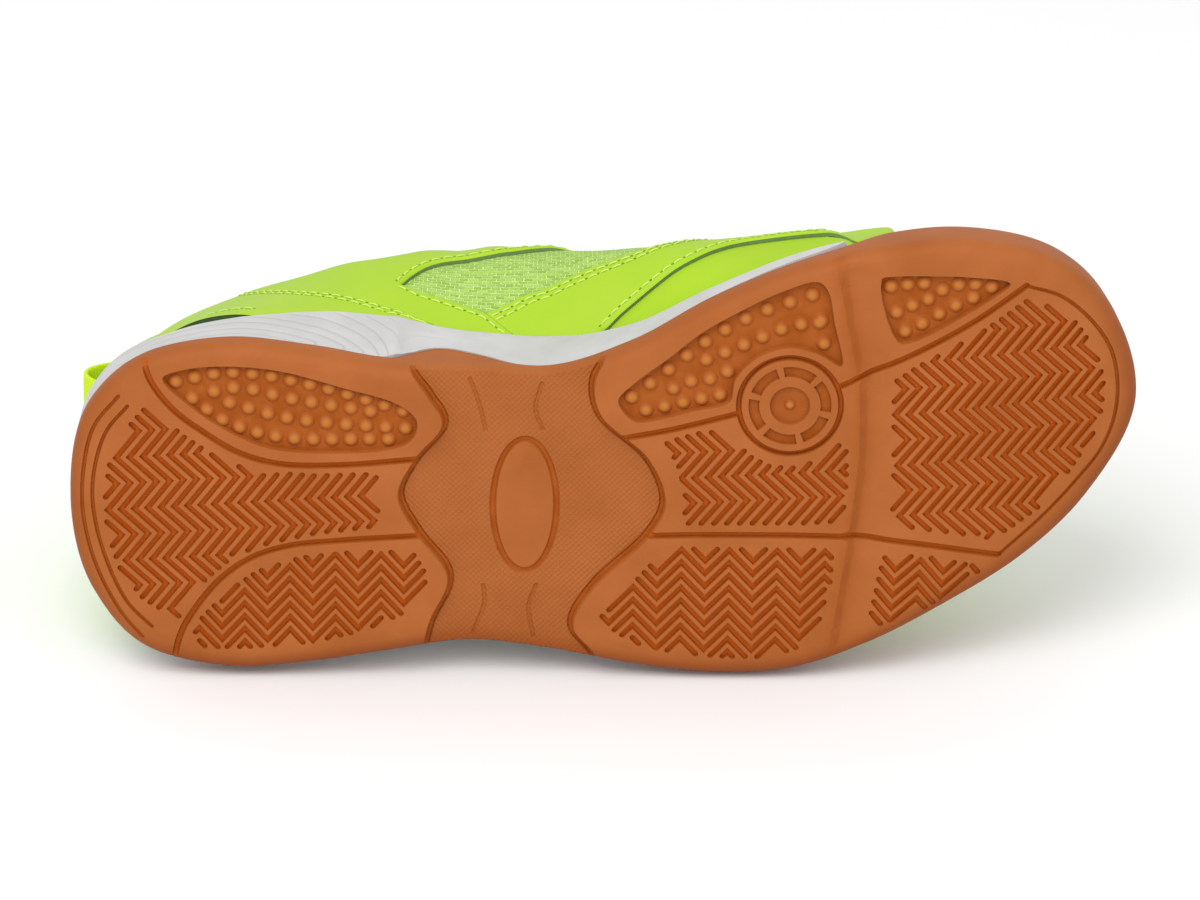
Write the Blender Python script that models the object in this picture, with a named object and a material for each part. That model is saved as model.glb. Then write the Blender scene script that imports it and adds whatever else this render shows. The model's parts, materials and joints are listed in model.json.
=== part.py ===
"""Indoor court shoe for the left foot, lying on its outer side.

The shoe is drawn in its own frame, in millimetres: x from heel to toe, y towards the outer
(lateral) side, z up from the tread. Every piece hangs from one empty, which lays the shoe down.
"""
import math

import bmesh
import bpy
import numpy as np
from mathutils import Matrix, Vector

for old in list(bpy.data.objects):
    bpy.data.objects.remove(old, do_unlink=True)

# Driving sizes, in millimetres
MM = 0.001
LENGTH = 215.0
BALL_WIDTH = 86.0
HEEL_HEIGHT = 66.0
INSTEP_HEIGHT = 69.3
INSTEP_SHARES = (0.30, 0.44)
TOE_SPRING = 10.0
SPRING_START = 150.0
BEND_STEP = 14.0
AXIS_SWING = 1.2
GAP = 0.3

# Steps along one side of the shoe: in the outline itself and in the meshes made from it
FINE = 390
HALF = 30
OUTLINE_STEPS = 24

# Plan of the sole: share of the length, then medial and lateral edge as shares of the ball width
SOLE_PLAN = (
    # station, medial, lateral
    (0.017, -0.242, 0.236),
    (0.073, -0.360, 0.388),
    (0.149, -0.398, 0.429),
    (0.225, -0.380, 0.413),
    (0.300, -0.348, 0.381),
    (0.375, -0.344, 0.351),
    (0.451, -0.338, 0.370),
    (0.526, -0.403, 0.405),
    (0.600, -0.511, 0.425),
    (0.679, -0.599, 0.415),
    (0.753, -0.650, 0.350),
    (0.828, -0.668, 0.251),
    (0.902, -0.634, 0.135),
    (0.962, -0.534, -0.010),
)
HEEL_POINT = (-0.004, -0.012)
TOE_POINT = (1.007, -0.246)

# Heights along the sole, in millimetres: outsole rim, midsole edge and footbed inside it
SOLE_HEIGHTS = (
    # station, rim_medial, rim_lateral, edge_medial, edge_lateral, bed, flare
    (-0.01, 6.4, 6.4, 16.4, 16.4, 11.6, 0.0),
    (0.07, 6.2, 6.2, 16.0, 16.0, 12.0, 0.0),
    (0.12, 6.1, 6.1, 19.0, 18.4, 12.6, 0.2),
    (0.19, 6.0, 6.0, 23.3, 22.0, 13.0, 0.4),
    (0.25, 6.2, 6.0, 27.4, 24.6, 13.0, 2.0),
    (0.30, 6.6, 6.0, 28.3, 25.4, 13.0, 2.6),
    (0.32, 10.4, 6.0, 27.6, 25.0, 13.0, 1.9),
    (0.345, 13.6, 6.0, 25.8, 24.3, 13.0, 1.0),
    (0.38, 10.4, 6.0, 24.2, 23.4, 13.0, 0.4),
    (0.42, 6.4, 6.0, 24.2, 22.6, 12.6, 0.3),
    (0.45, 6.0, 6.0, 24.0, 21.6, 12.2, 0.2),
    (0.49, 6.0, 6.0, 20.0, 19.4, 12.0, 0.1),
    (0.53, 6.0, 6.0, 16.0, 16.4, 11.3, 0.1),
    (0.57, 6.0, 6.0, 13.8, 14.4, 10.5, 0.1),
    (0.62, 6.6, 6.6, 12.8, 13.0, 10.0, 0.1),
    (0.68, 8.0, 8.0, 13.6, 13.2, 9.6, 0.1),
    (0.72, 9.8, 9.8, 14.0, 13.4, 9.5, 0.1),
    (0.77, 17.4, 17.4, 13.6, 13.4, 9.5, 0.1),
    (0.86, 18.0, 18.0, 13.4, 13.4, 9.5, 0.1),
    (1.01, 19.0, 19.0, 13.4, 13.4, 9.5, 0.1),
)
RIM_MEDIAL, RIM_LATERAL, EDGE_MEDIAL, EDGE_LATERAL, BED, FLARE = range(1, 7)

# Ribs of the upper, from the feather line at the sole to the collar and throat edge.
# Shares of the way from heel to toe; rim place in millimetres on and beside the foot's axis;
# rim height as a share of heel or instep height; lean out of the wall at the sole and in at the
# rim, in degrees; wall thickness at the rim.
UPPER_RIBS = (
    # share, rim_x, rim_half, rim_z, lean_medial, lean_lateral, arrive, rim_wall
    (0.00, 9.0, 0.0, 1.000, -4, -4, 14, 4.5),
    (0.07, 12.0, 7.4, 0.985, -16, -16, 16, 4.8),
    (0.14, 20.0, 15.0, 0.930, -20, -16, 16, 5.2),
    (0.20, 31.5, 20.8, 0.870, -11, -8, 12, 5.2),
    (0.26, 44.5, 25.0, 0.832, 0, -2, 8, 5.2),
    (0.31, 56.5, 27.5, 0.838, 10, 2, 6, 5.0),
    (0.36, 68.0, 27.3, 0.876, 17, 6, 10, 4.6),
    (0.40, 77.0, 24.6, 0.933, 21, 8, 24, 4.0),
    (0.44, 85.0, 21.0, 1.000, 27, 8, 42, 3.2),
    (0.50, 95.0, 16.6, 1.000, 31, 7, 55, 2.6),
    (0.56, 107.0, 13.6, 0.938, 27, 4, 60, 2.4),
    (0.64, 120.0, 11.4, 0.862, -3, -4, 66, 2.2),
    (0.72, 131.0, 9.4, 0.800, -11, -12, 70, 2.0),
    (0.82, 138.0, 6.5, 0.757, -4, -14, 78, 2.0),
    (0.91, 141.0, 3.4, 0.738, -22, -22, 78, 2.0),
    (1.00, 142.0, 0.0, 0.733, -22, -22, 78, 2.0),
)
RIM_X, RIM_HALF, RIM_Z, LEAN_MEDIAL, LEAN_LATERAL, ARRIVE, RIM_WALL = range(1, 8)
RIB_FOOT_PULL = 0.38
RIB_RIM_PULL = 0.40
RIB_CALM = 40
WALL = 2.0
PADDED = (0.55, 0.95)
CREST_RISE = 0.045
UPPER_LEVELS = (0.0, 0.12, 0.28, 0.45, 0.62, 0.78, 0.91, 1.0)

# Sole build-up
SLAB = 5.0
LIP = 2.3
OUTSOLE_EDGE = (
    # inset, height
    (3.6, 0.0),
    (1.3, 0.7),
    (0.2, 2.4),
    (0.0, 4.2),
)
BUMPER_LEAN = 0.19
BUMPER_STATIONS = (0.55, 0.68)
BUMPER_BELLY = (0.35, 0.60)
BUMPER_EARLY = 3.4
BUMPER_BLEND = 3.0
LOW_RIM = 6.0
LATERAL_FLARE = 0.2
FACE_INSET = 0.1
FACE_STANDS = (0.3, 1.4)
EDGE_ROUND = 0.7
LEAST_EDGE = 1.0
LEDGE = 0.5
FEATHER_INSET = 1.9
DISH_INSET = 6.0
DISH_SLOPE = 2.4
INSOLE_EDGE = (
    # inset, height
    (0.0, 0.0),
    (0.0, 0.6),
    (0.5, 2.6),
    (1.6, 3.4),
)

# Tread: depths, widths and the places of its pads, pockets and grooves
ARCH_RECESS = 1.8
POCKET_DEPTH = 1.5
GROOVE_DEPTH = 1.4
GROOVE_WIDTH = 1.3
DEPTH_STEP = 0.06
BELOW = -2.0
PIVOT_CENTRE = (145.4, -23.0)
PIVOT_RADII = {"groove": (9.8, 10.9), "ring": (6.2, 8.5), "centre": (0.0, 4.1)}
PIVOT_BRIDGES = 6
PIVOT_BRIDGE = 0.14
PIVOT_LAP = 0.06
PIVOT_STEPS = {"groove": 17, "ring": 6, "centre": 20}
FLEX_RADIUS = 9.0
FLEX_DEPTH = 1.0
FLEX_STEPS = 28
FLEX_LINE = ((158.8, -70.0), (160.6, -24.0), (157.4, 45.0))
HEEL_PAD_FRONT = ((66.0, -50.0), (66.8, -32.0), (72.2, -23.4), (75.0, -17.9), (69.5, -10.4), (66.0, -2.3),
                  (69.8, 6.0), (76.2, 15.5), (72.2, 26.3), (68.0, 50.0))
FOREFOOT_REAR = ((110.0, 50.0), (106.9, 32.7), (102.2, 26.0), (106.0, 18.0), (117.7, 5.7), (120.7, -1.4),
                 (117.2, -10.9), (107.4, -20.2), (106.0, -27.0), (109.0, -34.1), (112.0, -60.0))
POCKETS = {
    "heel": ((18.4, -27.0), (31.0, -29.8), (41.8, -29.0), (54.7, -25.6), (66.5, -21.9), (70.3, -18.4),
             (69.3, -14.5), (64.8, -12.3), (47.2, -11.3), (39.0, -12.4), (30.8, -16.2), (24.6, -20.5)),
    "medial": ((110.3, -23.5), (120.4, -32.6), (134.9, -43.1), (150.7, -49.5), (152.6, -47.2),
               (155.6, -31.8), (151.4, -34.2), (145.4, -35.5), (138.4, -33.2), (134.4, -28.6),
               (132.6, -23.3), (115.5, -18.8)),
    "front": ((163.4, -50.2), (171.0, -50.7), (181.4, -50.2), (188.6, -48.4), (179.8, -41.7), (168.4, -36.5)),
}
GROOVES = {
    "heel_medial": ((13.0, -38.0), (15.8, -27.0), (20.5, -20.4), (26.6, -15.6), (33.8, -11.2), (42.0, -8.9),
                    (54.4, -8.8), (71.0, -10.4)),
    "heel_lateral": ((19.5, 40.0), (21.4, 29.3), (24.7, 23.0), (30.1, 16.2), (36.4, 11.6), (43.8, 9.0),
                     (54.2, 7.7), (72.0, 6.3)),
    "ball_medial": ((110.5, -15.2), (121.3, -17.4), (135.5, -21.2)),
    "ball_front": ((155.1, -27.0), (171.8, -34.9), (182.4, -40.8), (192.6, -47.9)),
    "ball_lateral": ((115.0, 5.8), (131.7, 5.3), (159.3, 5.5), (171.4, 7.0), (188.9, 10.2)),
    "toe_border": ((191.2, -47.2), (199.7, -45.3), (205.7, -40.2), (210.4, -33.3), (212.2, -25.7),
                   (211.8, -18.2), (209.3, -11.5), (204.9, -5.7), (198.5, 1.4), (187.6, 10.6)),
}

# Midsole side: ribs pressed into the heel sides, as heights between rim and edge
RIB_LEVELS = (0.22, 0.36, 0.50, 0.66, 0.82)
RIB_DEPTH = 0.7
RIB_STATIONS = (0.10, 0.16, 0.27, 0.31)
RIB_SAG = 0.45
RIB_SAG_FROM = 0.22

# Overlays on the upper: outlines seen from the side, as stations along the shoe and heights.
# The counter wraps the heel; quarter and saddle are made for each side.
OVERLAY = 1.0
SIDE_CLEAR = 4.0
WIDE = 100.0
HEEL_COUNTER = ((-20.0, 10.0), (-20.0, 54.0), (10.0, 55.0), (24.0, 55.0), (33.2, 54.2), (36.4, 48.3),
                (40.7, 42.7), (44.4, 38.8), (48.0, 35.8), (51.8, 33.8), (55.5, 32.3), (59.3, 31.1),
                (63.5, 29.4), (66.7, 28.2), (71.6, 25.7), (73.0, 10.0))
QUARTER_BACK = ((89.8, 14.0), (73.8, 14.0), (72.4, 26.4), (67.0, 28.9), (63.8, 30.1), (59.6, 31.8),
                (55.8, 33.1), (52.1, 34.5), (48.5, 36.5), (44.9, 39.4), (41.3, 43.2), (37.1, 48.7),
                (33.9, 54.6))
QUARTER_TOP = ((37.5, 53.4), (44.5, 51.0), (56.5, 51.4), (66.0, 54.4), (75.0, 59.4), (83.0, 65.0),
               (94.0, 70.0), (107.0, 66.0), (120.0, 61.0), (126.0, 58.5))
QUARTER_FRONT = ((124.0, 51.0), (113.0, 54.0), (101.0, 56.4), (92.0, 55.6), (85.0, 53.2), (79.8, 51.8),
                 (74.6, 50.2), (70.6, 47.7), (67.6, 44.4), (65.2, 40.2), (69.8, 37.0), (74.1, 35.0),
                 (78.7, 32.5), (83.2, 30.3), (86.1, 27.5), (89.0, 24.6))
SADDLE_REAR = ((107.0, 10.0), (91.4, 10.0), (90.2, 24.8), (87.2, 28.1), (84.4, 30.6), (87.0, 33.0),
               (92.3, 36.4), (98.3, 37.0), (104.5, 36.0), (110.5, 35.0), (116.4, 34.8), (121.5, 36.6),
               (126.0, 41.0), (129.5, 47.0))
SADDLE_FRONT = ((136.0, 50.0), (150.0, 48.0), (160.0, 44.0), (166.0, 36.0), (167.0, 20.0))
SADDLE_HOLLOW = ((161.6, 19.0), (158.0, 23.2), (152.4, 27.4), (146.6, 30.6), (140.5, 32.2), (135.2, 31.8),
                 (130.2, 28.4), (125.4, 25.0), (120.0, 23.0), (115.3, 21.9), (110.4, 20.8), (107.1, 19.6))

# Tongue: stations from its sewn end to its free top, with height, half width and droop at the edges
TONGUE_SECTIONS = (
    # x, height, half, droop
    (152.0, 46.4, 11.0, 0.9),
    (140.0, 49.0, 14.0, 1.5),
    (124.0, 56.0, 17.0, 4.2),
    (106.0, 64.0, 19.0, 7.5),
    (90.0, 70.0, 18.6, 6.2),
    (78.0, 76.5, 16.8, 4.8),
    (68.0, 83.5, 16.0, 4.0),
)
TONGUE_THICK = 3.2
TONGUE_EDGE = 0.45
TONGUE_COLUMNS = 8
TONGUE_ROWS = 12

# Lace: flat cord over the throat between five pairs of eyelets
LACE_WIDTH = 5.0
LACE_THICK = 1.5
LACE_SHARES = (0.48, 0.525, 0.575, 0.63, 0.695)
LACE_HEIGHT = 0.96
LACE_CROWN = 3.6
LACE_STAND = 3.0
LACE_OVERRUN = 0.04
LACE_STEPS = 4

# Pull loop at the back of the collar
LOOP_WIDTH = 10.5
LOOP_THICK = 1.3
LOOP_STAND = 5.4
LOOP_SPAN = (0.52, 0.60, 0.93, 0.99)
LOOP_ROUND = 0.8
LOOP_STEPS = 12

# Colours as base colour and roughness, and the weight of each material for the balance
FINISHES = {
    "gum_rubber": ((0.42, 0.13, 0.035), 0.55, 1.15),
    "white_foam": ((0.66, 0.66, 0.66), 0.6, 0.25),
    "neon_synthetic": ((0.46, 0.76, 0.04), 0.5, 0.75),
    "neon_mesh": ((0.48, 0.78, 0.13), 0.8, 0.6),
    "neon_webbing": ((0.46, 0.66, 0.02), 0.8, 0.7),
    "insole_fabric": ((0.05, 0.055, 0.06), 0.9, 0.3),
}


# Curves, tables and rings shared by the pieces
def curve(points, per=12, closed=False):
    """Smooth curve through the points, as cubic stretches of a fixed number of steps."""
    p = np.asarray(points, float)
    if closed:
        q = np.vstack([p[-1:], p, p[:2]])
    else:
        q = np.vstack([2 * p[:1] - p[1:2], p, 2 * p[-1:] - p[-2:-1]])
    step = np.sqrt(np.linalg.norm(np.diff(q, axis=0), axis=1))
    before, after = step[:-1, None], step[1:, None]
    slope = (np.diff(q, axis=0)[:-1] / before * after + np.diff(q, axis=0)[1:] / after * before)
    slope = np.vstack([slope[:1], slope / (before + after)])
    t = np.linspace(0.0, 1.0, per, endpoint=False)[:, None]
    pieces = []
    for i in range(1, len(q) - 2):
        start, end = slope[i] * step[i], slope[i + 1] * step[i]
        pieces.append((2 * t**3 - 3 * t**2 + 1) * q[i] + (t**3 - 2 * t**2 + t) * start
                      + (3 * t**2 - 2 * t**3) * q[i + 1] + (t**3 - t**2) * end)
    if not closed:
        pieces.append(p[-1:])
    return np.vstack(pieces)


def resample(points, count):
    """The same curve in equal steps."""
    run = np.r_[0.0, np.cumsum(np.linalg.norm(np.diff(points, axis=0), axis=1))]
    at = np.linspace(0.0, run[-1], count + 1)
    return np.column_stack([np.interp(at, run, points[:, k]) for k in range(points.shape[1])])


def along(table, column, at):
    """A table's column, read smoothly and without overshoot at the given places of its first column."""
    rows = np.asarray(table, float)
    place, value = rows[:, 0], rows[:, column]
    step = np.diff(place)
    rise = np.diff(value) / step
    inner = (rise[:-1] * step[1:] + rise[1:] * step[:-1]) / (step[:-1] + step[1:])
    least = np.minimum(abs(rise[:-1]), abs(rise[1:]))
    inner = np.where(rise[:-1] * rise[1:] > 0.0, np.sign(inner) * np.minimum(abs(inner), 3 * least), 0.0)
    slope = np.r_[rise[0], inner, rise[-1]]
    at = np.asarray(at, float)
    k = np.clip(np.searchsorted(place, at) - 1, 0, len(step) - 1)
    t = np.clip((at - place[k]) / step[k], 0.0, 1.0)
    ends = value[k] * (2 * t**3 - 3 * t**2 + 1) + value[k + 1] * (3 * t**2 - 2 * t**3)
    return ends + step[k] * (slope[k] * (t**3 - 2 * t**2 + t) + slope[k + 1] * (t**3 - t**2))


def smooth(low, high, value):
    t = np.clip((np.asarray(value, float) - low) / (high - low), 0.0, 1.0)
    return t * t * (3 - 2 * t)


def spring(x):
    """Rise of the toe off the floor."""
    return TOE_SPRING * np.clip((x - SPRING_START) / (LENGTH - SPRING_START), 0.0, None) ** 2


def axis_y(x):
    """The foot's axis, which swings to the medial side towards the toe."""
    swing = (TOE_POINT[1] - HEEL_POINT[1]) * BALL_WIDTH
    return HEEL_POINT[1] * BALL_WIDTH + swing * np.clip(x / LENGTH, 0.0, None) ** AXIS_SWING


# The outline, from the heel point along the medial side to the toe and back along the lateral side
def sole_outline():
    scale = np.array([LENGTH, BALL_WIDTH])
    medial = [(row[0], row[1]) for row in SOLE_PLAN]
    lateral = [(row[0], row[2]) for row in reversed(SOLE_PLAN)]
    line = curve([HEEL_POINT] + medial + [TOE_POINT] + lateral, OUTLINE_STEPS, closed=True)
    turn = OUTLINE_STEPS * (len(SOLE_PLAN) + 1)
    sides = (line[:turn + 1] * scale, np.vstack([line[turn:], line[:1]]) * scale)
    return np.vstack([resample(side, FINE)[:-1] for side in sides])


EDGE = sole_outline()
COUNT = len(EDGE)
RUN = np.roll(EDGE, -1, axis=0) - np.roll(EDGE, 1, axis=0)
OUT = np.column_stack([RUN[:, 1], -RUN[:, 0]]) / np.linalg.norm(RUN, axis=1)[:, None]
PLACE = np.arange(COUNT) / FINE
SHARE = np.where(PLACE <= 1.0, PLACE, 2.0 - PLACE)
LATERAL = PLACE > 1.0
STATION = EDGE[:, 0] / LENGTH


def sided(table, medial, lateral, at):
    return np.where(LATERAL, along(table, lateral, at), along(table, medial, at))


RIM = sided(SOLE_HEIGHTS, RIM_MEDIAL, RIM_LATERAL, STATION)
TOP = sided(SOLE_HEIGHTS, EDGE_MEDIAL, EDGE_LATERAL, STATION)
BED_Z = along(SOLE_HEIGHTS, BED, STATION)
FLARED = along(SOLE_HEIGHTS, FLARE, STATION) * np.where(LATERAL, LATERAL_FLARE, 1.0)
LEAN_IN = np.clip(RIM - LOW_RIM, 0.0, None) * BUMPER_LEAN * smooth(*BUMPER_STATIONS, STATION)
BUMPER = smooth(0.0, BUMPER_BLEND, RIM - TOP + BUMPER_EARLY)
COARSE = np.arange(0, COUNT, FINE // HALF)


def ring(inset, height):
    """A closed line set in from the sole's outline, at a height."""
    flat = EDGE - OUT * np.broadcast_to(inset, COUNT)[:, None]
    return np.column_stack([flat, np.broadcast_to(height, COUNT)])[COARSE]


# Making solids
def material(name):
    colour, rough, _ = FINISHES[name]
    made = bpy.data.materials.get(name)
    if made is None:
        made = bpy.data.materials.new(name)
        made.use_nodes = True
        shader = made.node_tree.nodes["Principled BSDF"]
        shader.inputs["Base Color"].default_value = (*colour, 1.0)
        shader.inputs["Roughness"].default_value = rough
    return made


def solid(name, points, faces, finish):
    """A mesh object from points in millimetres, with its faces turned outward."""
    mesh = bpy.data.meshes.new(name)
    mesh.from_pydata([tuple(p) for p in np.asarray(points) * MM], [], faces)
    bm = bmesh.new()
    bm.from_mesh(mesh)
    bmesh.ops.recalc_face_normals(bm, faces=bm.faces)
    bm.to_mesh(mesh)
    bm.free()
    obj = bpy.data.objects.new(name, mesh)
    bpy.context.scene.collection.objects.link(obj)
    if finish:
        mesh.materials.append(material(finish))
    return obj


def bands(rows, size, closed):
    """Faces between rows of points, each row a loop of the given size."""
    last = rows if closed else rows - 1
    faces = []
    for k in range(last):
        low, high = k * size, ((k + 1) % rows) * size
        for i in range(size):
            j = (i + 1) % size
            faces.append((low + i, low + j, high + j))
            faces.append((low + i, high + j, high + i))
    return faces


def ladder(start, size):
    """Faces that close a loop with rungs between its two sides."""
    half = size // 2
    faces = [(start, start + 1, start + size - 1)]
    for j in range(1, half - 1):
        faces.append((start + j, start + j + 1, start + size - j - 1, start + size - j))
    faces.append((start + half - 1, start + half, start + half + 1))
    return faces


def stack(name, rings, finish, flat=False):
    """A solid from loops of the outline, closed at its first and last loop by rungs or a flat face."""
    size = len(rings[0])
    last = (len(rings) - 1) * size
    if flat:
        ends = [tuple(range(size)), tuple(range(last, last + size))]
    else:
        ends = ladder(0, size) + ladder(last, size)
    return solid(name, np.vstack(rings), bands(len(rings), size, False) + ends, finish)


def sheet(name, outer, inner, finish):
    """A solid between two grids of points with the same rows and columns."""
    rows, cols = outer.shape[:2]
    points = np.vstack([outer.reshape(-1, 3), inner.reshape(-1, 3)])
    back = rows * cols
    faces = []
    for r in range(rows - 1):
        for c in range(cols - 1):
            a, b = r * cols + c, r * cols + c + 1
            d, e = a + cols, b + cols
            faces.append((a, b, e, d))
            faces.append((back + a, back + d, back + e, back + b))
    rim = list(range(cols))
    rim += [r * cols + cols - 1 for r in range(1, rows)]
    rim += [(rows - 1) * cols + c for c in range(cols - 2, -1, -1)]
    rim += [r * cols for r in range(rows - 2, 0, -1)]
    for i, a in enumerate(rim):
        b = rim[(i + 1) % len(rim)]
        faces.append((a, back + a, back + b, b))
    return solid(name, points, faces, finish)


def score(obj, stations):
    """Divides a flat piece across the foot, so that it can bend there."""
    bm = bmesh.new()
    bm.from_mesh(obj.data)
    bmesh.ops.triangulate(bm, faces=bm.faces)
    for x in stations:
        bmesh.ops.bisect_plane(bm, geom=bm.verts[:] + bm.edges[:] + bm.faces[:], dist=1e-7,
                               plane_co=(x * MM, 0.0, 0.0), plane_no=(1.0, 0.0, 0.0))
    bm.to_mesh(obj.data)
    bm.free()


def lift(obj):
    """Bends a flat piece up along the toe spring."""
    for vertex in obj.data.vertices:
        vertex.co.z += float(spring(vertex.co.x / MM)) * MM


def prism(outline, low, high):
    """A cutter with an upright wall on a closed outline."""
    size = len(outline)
    flat = np.asarray(outline, float)
    points = np.vstack([np.column_stack([flat, np.full(size, z)]) for z in (low, high)])
    faces = bands(2, size, False) + [tuple(range(size)), tuple(range(size, 2 * size))]
    return solid("cutter", points, faces, None)


def strip(points, width, per=2):
    """Outline of a band of even width along a smooth line."""
    line = curve(points, per)
    run = np.gradient(line, axis=0)
    side = np.column_stack([-run[:, 1], run[:, 0]]) / np.linalg.norm(run, axis=1)[:, None]
    return np.vstack([line + side * width / 2, (line - side * width / 2)[::-1]])


def arc(centre, radius, start, end, steps):
    turn = np.linspace(start, end, steps)
    return np.column_stack([centre[0] + radius * np.cos(turn), centre[1] + radius * np.sin(turn)])


def combine(obj, cutter, operation):
    """Cuts or joins a second solid and removes it."""
    step = obj.modifiers.new("combine", "BOOLEAN")
    step.operation = operation
    step.object = cutter
    step.solver = "EXACT"
    bpy.context.view_layer.update()
    seen = obj.evaluated_get(bpy.context.evaluated_depsgraph_get())
    made = bpy.data.meshes.new_from_object(seen)
    obj.modifiers.clear()
    obj.data = made
    bpy.data.objects.remove(cutter, do_unlink=True)


# Outsole: a gum rubber slab with a rim round the foot that rises to a bumper at the toe
belly_in, belly_up = BUMPER_BELLY
widest = OUTSOLE_EDGE[-1][1]
outsole = stack("outsole", [ring(inset, height) for inset, height in OUTSOLE_EDGE] + [
    ring(LEAN_IN * belly_in, widest + (RIM - widest) * belly_up),
    ring(LEAN_IN, RIM),
    ring(LEAN_IN + LIP, RIM),
    ring(LEAN_IN + LIP, SLAB),
], "gum_rubber", flat=True)
waist = np.vstack([curve(HEEL_PAD_FRONT, 4), curve(FOREFOOT_REAR, 4)])
combine(outsole, prism(waist, BELOW, ARCH_RECESS), "DIFFERENCE")
for pocket in POCKETS.values():
    combine(outsole, prism(curve(pocket, 2, closed=True), BELOW, POCKET_DEPTH), "DIFFERENCE")
for k, line in enumerate(GROOVES.values()):
    combine(outsole, prism(strip(line, GROOVE_WIDTH), BELOW, GROOVE_DEPTH + k * DEPTH_STEP), "DIFFERENCE")
inner, outer = PIVOT_RADII["groove"]
steps = PIVOT_STEPS["groove"]
halves = ((-PIVOT_LAP, math.pi + PIVOT_LAP), (math.pi, 2 * math.pi))
for k, (start, end) in enumerate(halves):
    edges = [arc(PIVOT_CENTRE, outer, start, end, steps), arc(PIVOT_CENTRE, inner, end, start, steps)]
    band = np.vstack(edges)
    combine(outsole, prism(band, BELOW, GROOVE_DEPTH - (k + 1) * DEPTH_STEP), "DIFFERENCE")
inner, outer = PIVOT_RADII["ring"]
steps = PIVOT_STEPS["ring"]
for k in range(PIVOT_BRIDGES):
    start = 2 * math.pi * (k + PIVOT_BRIDGE) / PIVOT_BRIDGES
    end = 2 * math.pi * (k + 1 - PIVOT_BRIDGE) / PIVOT_BRIDGES
    edges = [arc(PIVOT_CENTRE, outer, start, end, steps), arc(PIVOT_CENTRE, inner, end, start, steps)]
    cell = np.vstack(edges)
    combine(outsole, prism(cell, BELOW, GROOVE_DEPTH), "DIFFERENCE")
steps = PIVOT_STEPS["centre"]
disc = arc(PIVOT_CENTRE, PIVOT_RADII["centre"][1], 0.0, 2 * math.pi * (1 - 1 / steps), steps)
combine(outsole, prism(disc, BELOW, GROOVE_DEPTH), "DIFFERENCE")

# The flex channel is a round hollow across the ball
channel = curve(FLEX_LINE, 6)
around = np.linspace(0.0, 2 * math.pi, FLEX_STEPS, endpoint=False)
hollow = [np.column_stack([x + FLEX_RADIUS * np.cos(around), np.full(FLEX_STEPS, y),
                           FLEX_DEPTH - FLEX_RADIUS + FLEX_RADIUS * np.sin(around)]) for x, y in channel]
last_ring = FLEX_STEPS * (len(hollow) - 1)
caps = [tuple(range(FLEX_STEPS)), tuple(range(last_ring, last_ring + FLEX_STEPS))]
tube = bands(len(hollow), FLEX_STEPS, False) + caps
combine(outsole, solid("cutter", np.vstack(hollow), tube, None), "DIFFERENCE")
score(outsole, np.arange(SPRING_START + BEND_STEP, LENGTH, BEND_STEP))
lift(outsole)

# Midsole: white foam in the outsole's rim, flush with it outside, with a dished top for the foot
reach = FINE // HALF
clear_rim = np.max([np.roll(RIM, k) for k in range(-reach, reach + 1)], axis=0)
standing = smooth(*FACE_STANDS, TOP - clear_rim)
inside = LEAN_IN + LIP + GAP
face_inset = inside + (FACE_INSET - inside) * standing
grown = FLARED * standing
low = np.minimum(clear_rim + GAP, TOP - LEAST_EDGE)
ribbed = smooth(*RIB_STATIONS[:2], STATION) * (1 - smooth(*RIB_STATIONS[2:], STATION))
rings = [ring(inside, SLAB + GAP), ring(inside, low - 0.01), ring(face_inset, low)]
for k, level in enumerate(RIB_LEVELS):
    sag = level * (1 - RIB_SAG * smooth(RIB_SAG_FROM, RIB_STATIONS[3], STATION))
    out = grown * level
    rings.append(ring(face_inset - out + RIB_DEPTH * ribbed * (k % 2), low + (TOP - low) * sag))
feather = FEATHER_INSET - grown + (inside + GAP - FEATHER_INSET) * BUMPER
ledge = np.maximum(LEDGE, face_inset) - grown
dish = feather + DISH_INSET - FEATHER_INSET
rings += [ring(face_inset - grown, TOP - EDGE_ROUND), ring(ledge, TOP), ring(dish, TOP),
          ring(dish + DISH_SLOPE, BED_Z)]
midsole = stack("midsole", rings, "white_foam")
lift(midsole)

# Insole: a thin cushion in the midsole's dish
bed_inset = dish + DISH_SLOPE + GAP
insole = stack("insole", [
    ring(bed_inset + inset, BED_Z + GAP + height) for inset, height in INSOLE_EDGE
], "insole_fabric")
lift(insole)


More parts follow.
